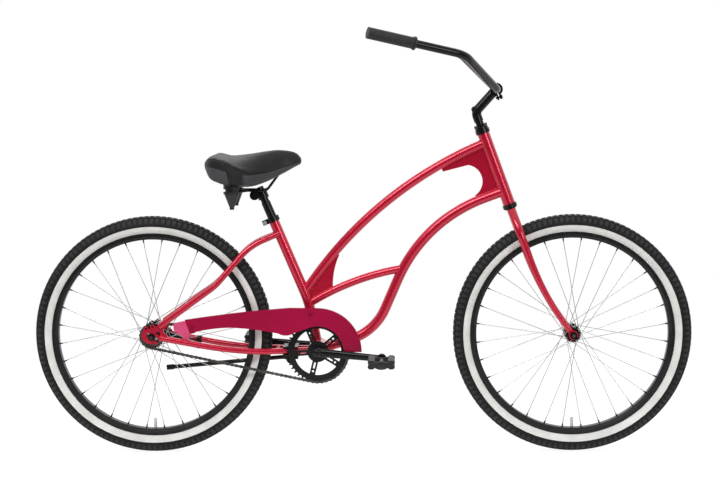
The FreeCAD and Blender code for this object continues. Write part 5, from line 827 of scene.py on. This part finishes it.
def soft_box(name, place, aim, size, power):
    """A broad lamp turned towards a point."""
    data = bpy.data.lights.new(name, "AREA")
    data.shape = "RECTANGLE"
    data.size, data.size_y = size
    data.energy = power
    lamp = bpy.data.objects.new(name, data)
    lamp.location = place
    lamp.rotation_euler = (Vector(aim) - Vector(place)).to_track_quat("-Z", "Y").to_euler()
    bpy.context.collection.objects.link(lamp)


def ray_share(tree, *names):
    """One for the kinds of ray that are named, zero for the others."""
    rays = tree.nodes.new("ShaderNodeLightPath")
    total = rays.outputs[names[0]]
    for name in names[1:]:
        most = tree.nodes.new("ShaderNodeMath")
        most.operation = "MAXIMUM"
        tree.links.new(total, most.inputs[0])
        tree.links.new(rays.outputs[name], most.inputs[1])
        total = most.outputs["Value"]
    return total


def mixed_level(tree, share, low, high):
    """A number that goes from low to high with a share; both may be sockets."""
    item = tree.nodes.new("ShaderNodeMix")
    tree.links.new(share, item.inputs["Factor"])
    for socket, value in ((item.inputs["A"], low), (item.inputs["B"], high)):
        if isinstance(value, float):
            socket.default_value = value
        else:
            tree.links.new(value, socket)
    return item.outputs["Result"]


def graded_level(tree, source, start, end, low, high):
    """A number that goes from low to high while the source goes from start to end."""
    item = tree.nodes.new("ShaderNodeMapRange")
    for socket, value in (("From Min", start), ("From Max", end), ("To Min", low), ("To Max", high)):
        item.inputs[socket].default_value = value
    tree.links.new(source, item.inputs["Value"])
    return item.outputs["Result"]


FRONT_LIGHT = 0.10
BACK_LIGHT = 0.75
BACKDROP = 1.0
BACK_DIRECTION = (0.0, 0.82, 0.57)
DARK_DEPTH = -0.45
BRIGHT_DEPTH = 0.35


def make_world():
    """White room that is dark behind the camera, as in a photographer's studio."""
    world = bpy.data.worlds.new("studio")
    world.use_nodes = True
    tree = world.node_tree
    sky = tree.nodes["Background"]
    sky.inputs["Color"].default_value = (1.0, 1.0, 1.0, 1.0)
    way = tree.nodes.new("ShaderNodeTexCoord").outputs["Generated"]
    depth = tree.nodes.new("ShaderNodeVectorMath")
    depth.operation = "DOT_PRODUCT"
    depth.inputs[1].default_value = BACK_DIRECTION
    tree.links.new(way, depth.inputs[0])
    ahead = depth.outputs["Value"]
    lit = graded_level(tree, ahead, DARK_DEPTH, BRIGHT_DEPTH, FRONT_LIGHT, BACK_LIGHT)
    mirrored = graded_level(tree, ahead, DARK_DEPTH, BRIGHT_DEPTH, FRONT_LIGHT, BACKDROP)
    backdrop = mixed_level(tree, ray_share(tree, "Is Camera Ray"), mirrored, BACKDROP)
    direct = ray_share(tree, "Is Camera Ray", "Is Glossy Ray", "Is Transmission Ray")
    level = mixed_level(tree, direct, lit, backdrop)
    tree.links.new(level, sky.inputs["Strength"])
    bpy.context.scene.world = world


FLOOR_REACH = 2.0
FLOOR_FADE = 1.15
FLOOR_GLOW = 1.12
FLOOR_SHARE = 0.8
FLOOR_SIDES = 96
FLOOR_COLOUR = (0.86, 0.86, 0.86, 1.0)
FLOOR_ROUGHNESS = 0.9


def make_floor():
    """Pale round floor that keeps the shadow and fades into the white backdrop at its rim."""
    form = bmesh.new()
    bmesh.ops.create_circle(form, cap_ends=True, radius=FLOOR_REACH, segments=FLOOR_SIDES)
    floor = bpy.data.objects.new("floor", mesh_from("floor", form))
    bpy.context.collection.objects.link(floor)
    material = bpy.data.materials.new("pale_floor")
    material.use_nodes = True
    tree = material.node_tree
    skin = tree.nodes["Principled BSDF"]
    skin.inputs["Base Color"].default_value = FLOOR_COLOUR
    skin.inputs["Roughness"].default_value = FLOOR_ROUGHNESS
    skin.inputs["Specular IOR Level"].default_value = 0.0
    glow = tree.nodes.new("ShaderNodeEmission")
    glow.inputs["Strength"].default_value = FLOOR_GLOW
    spread = tree.nodes.new("ShaderNodeVectorMath")
    spread.operation = "LENGTH"
    tree.links.new(tree.nodes.new("ShaderNodeTexCoord").outputs["Object"], spread.inputs[0])
    fade = graded_level(tree, spread.outputs["Value"], FLOOR_FADE, FLOOR_REACH, FLOOR_SHARE, 1.0)
    direct = ray_share(tree, "Is Camera Ray", "Is Glossy Ray", "Is Transmission Ray")
    share = mixed_level(tree, direct, 0.0, fade)
    mix = tree.nodes.new("ShaderNodeMixShader")
    tree.links.new(share, mix.inputs["Fac"])
    tree.links.new(skin.outputs["BSDF"], mix.inputs[1])
    tree.links.new(glow.outputs["Emission"], mix.inputs[2])
    tree.links.new(mix.outputs["Shader"], tree.nodes["Material Output"].inputs["Surface"])
    floor.data.materials.append(material)


# Name, place, aim, size and power of each lamp

LAMPS = (("key", (-1.4, -3.0, 3.6), (0.0, 0.0, 0.5), (3.0, 1.3), 105.0),
         ("fill", (2.8, -3.6, 1.9), (0.2, 0.0, 0.5), (1.4, 1.4), 45.0),
         ("back", (0.0, 2.6, 2.8), (0.0, 0.0, 0.6), (3.0, 1.0), 30.0))

dress_frame()
for wheel, axle in WHEELS.items():
    make_tyre(wheel, axle)
make_saddle()
make_saddle_base()
for hand in ("left", "right"):
    make_pedal(hand)
make_camera()
make_world()
make_floor()
for lamp in LAMPS:
    soft_box(*lamp)
bpy.context.scene.view_settings.view_transform = "Standard"
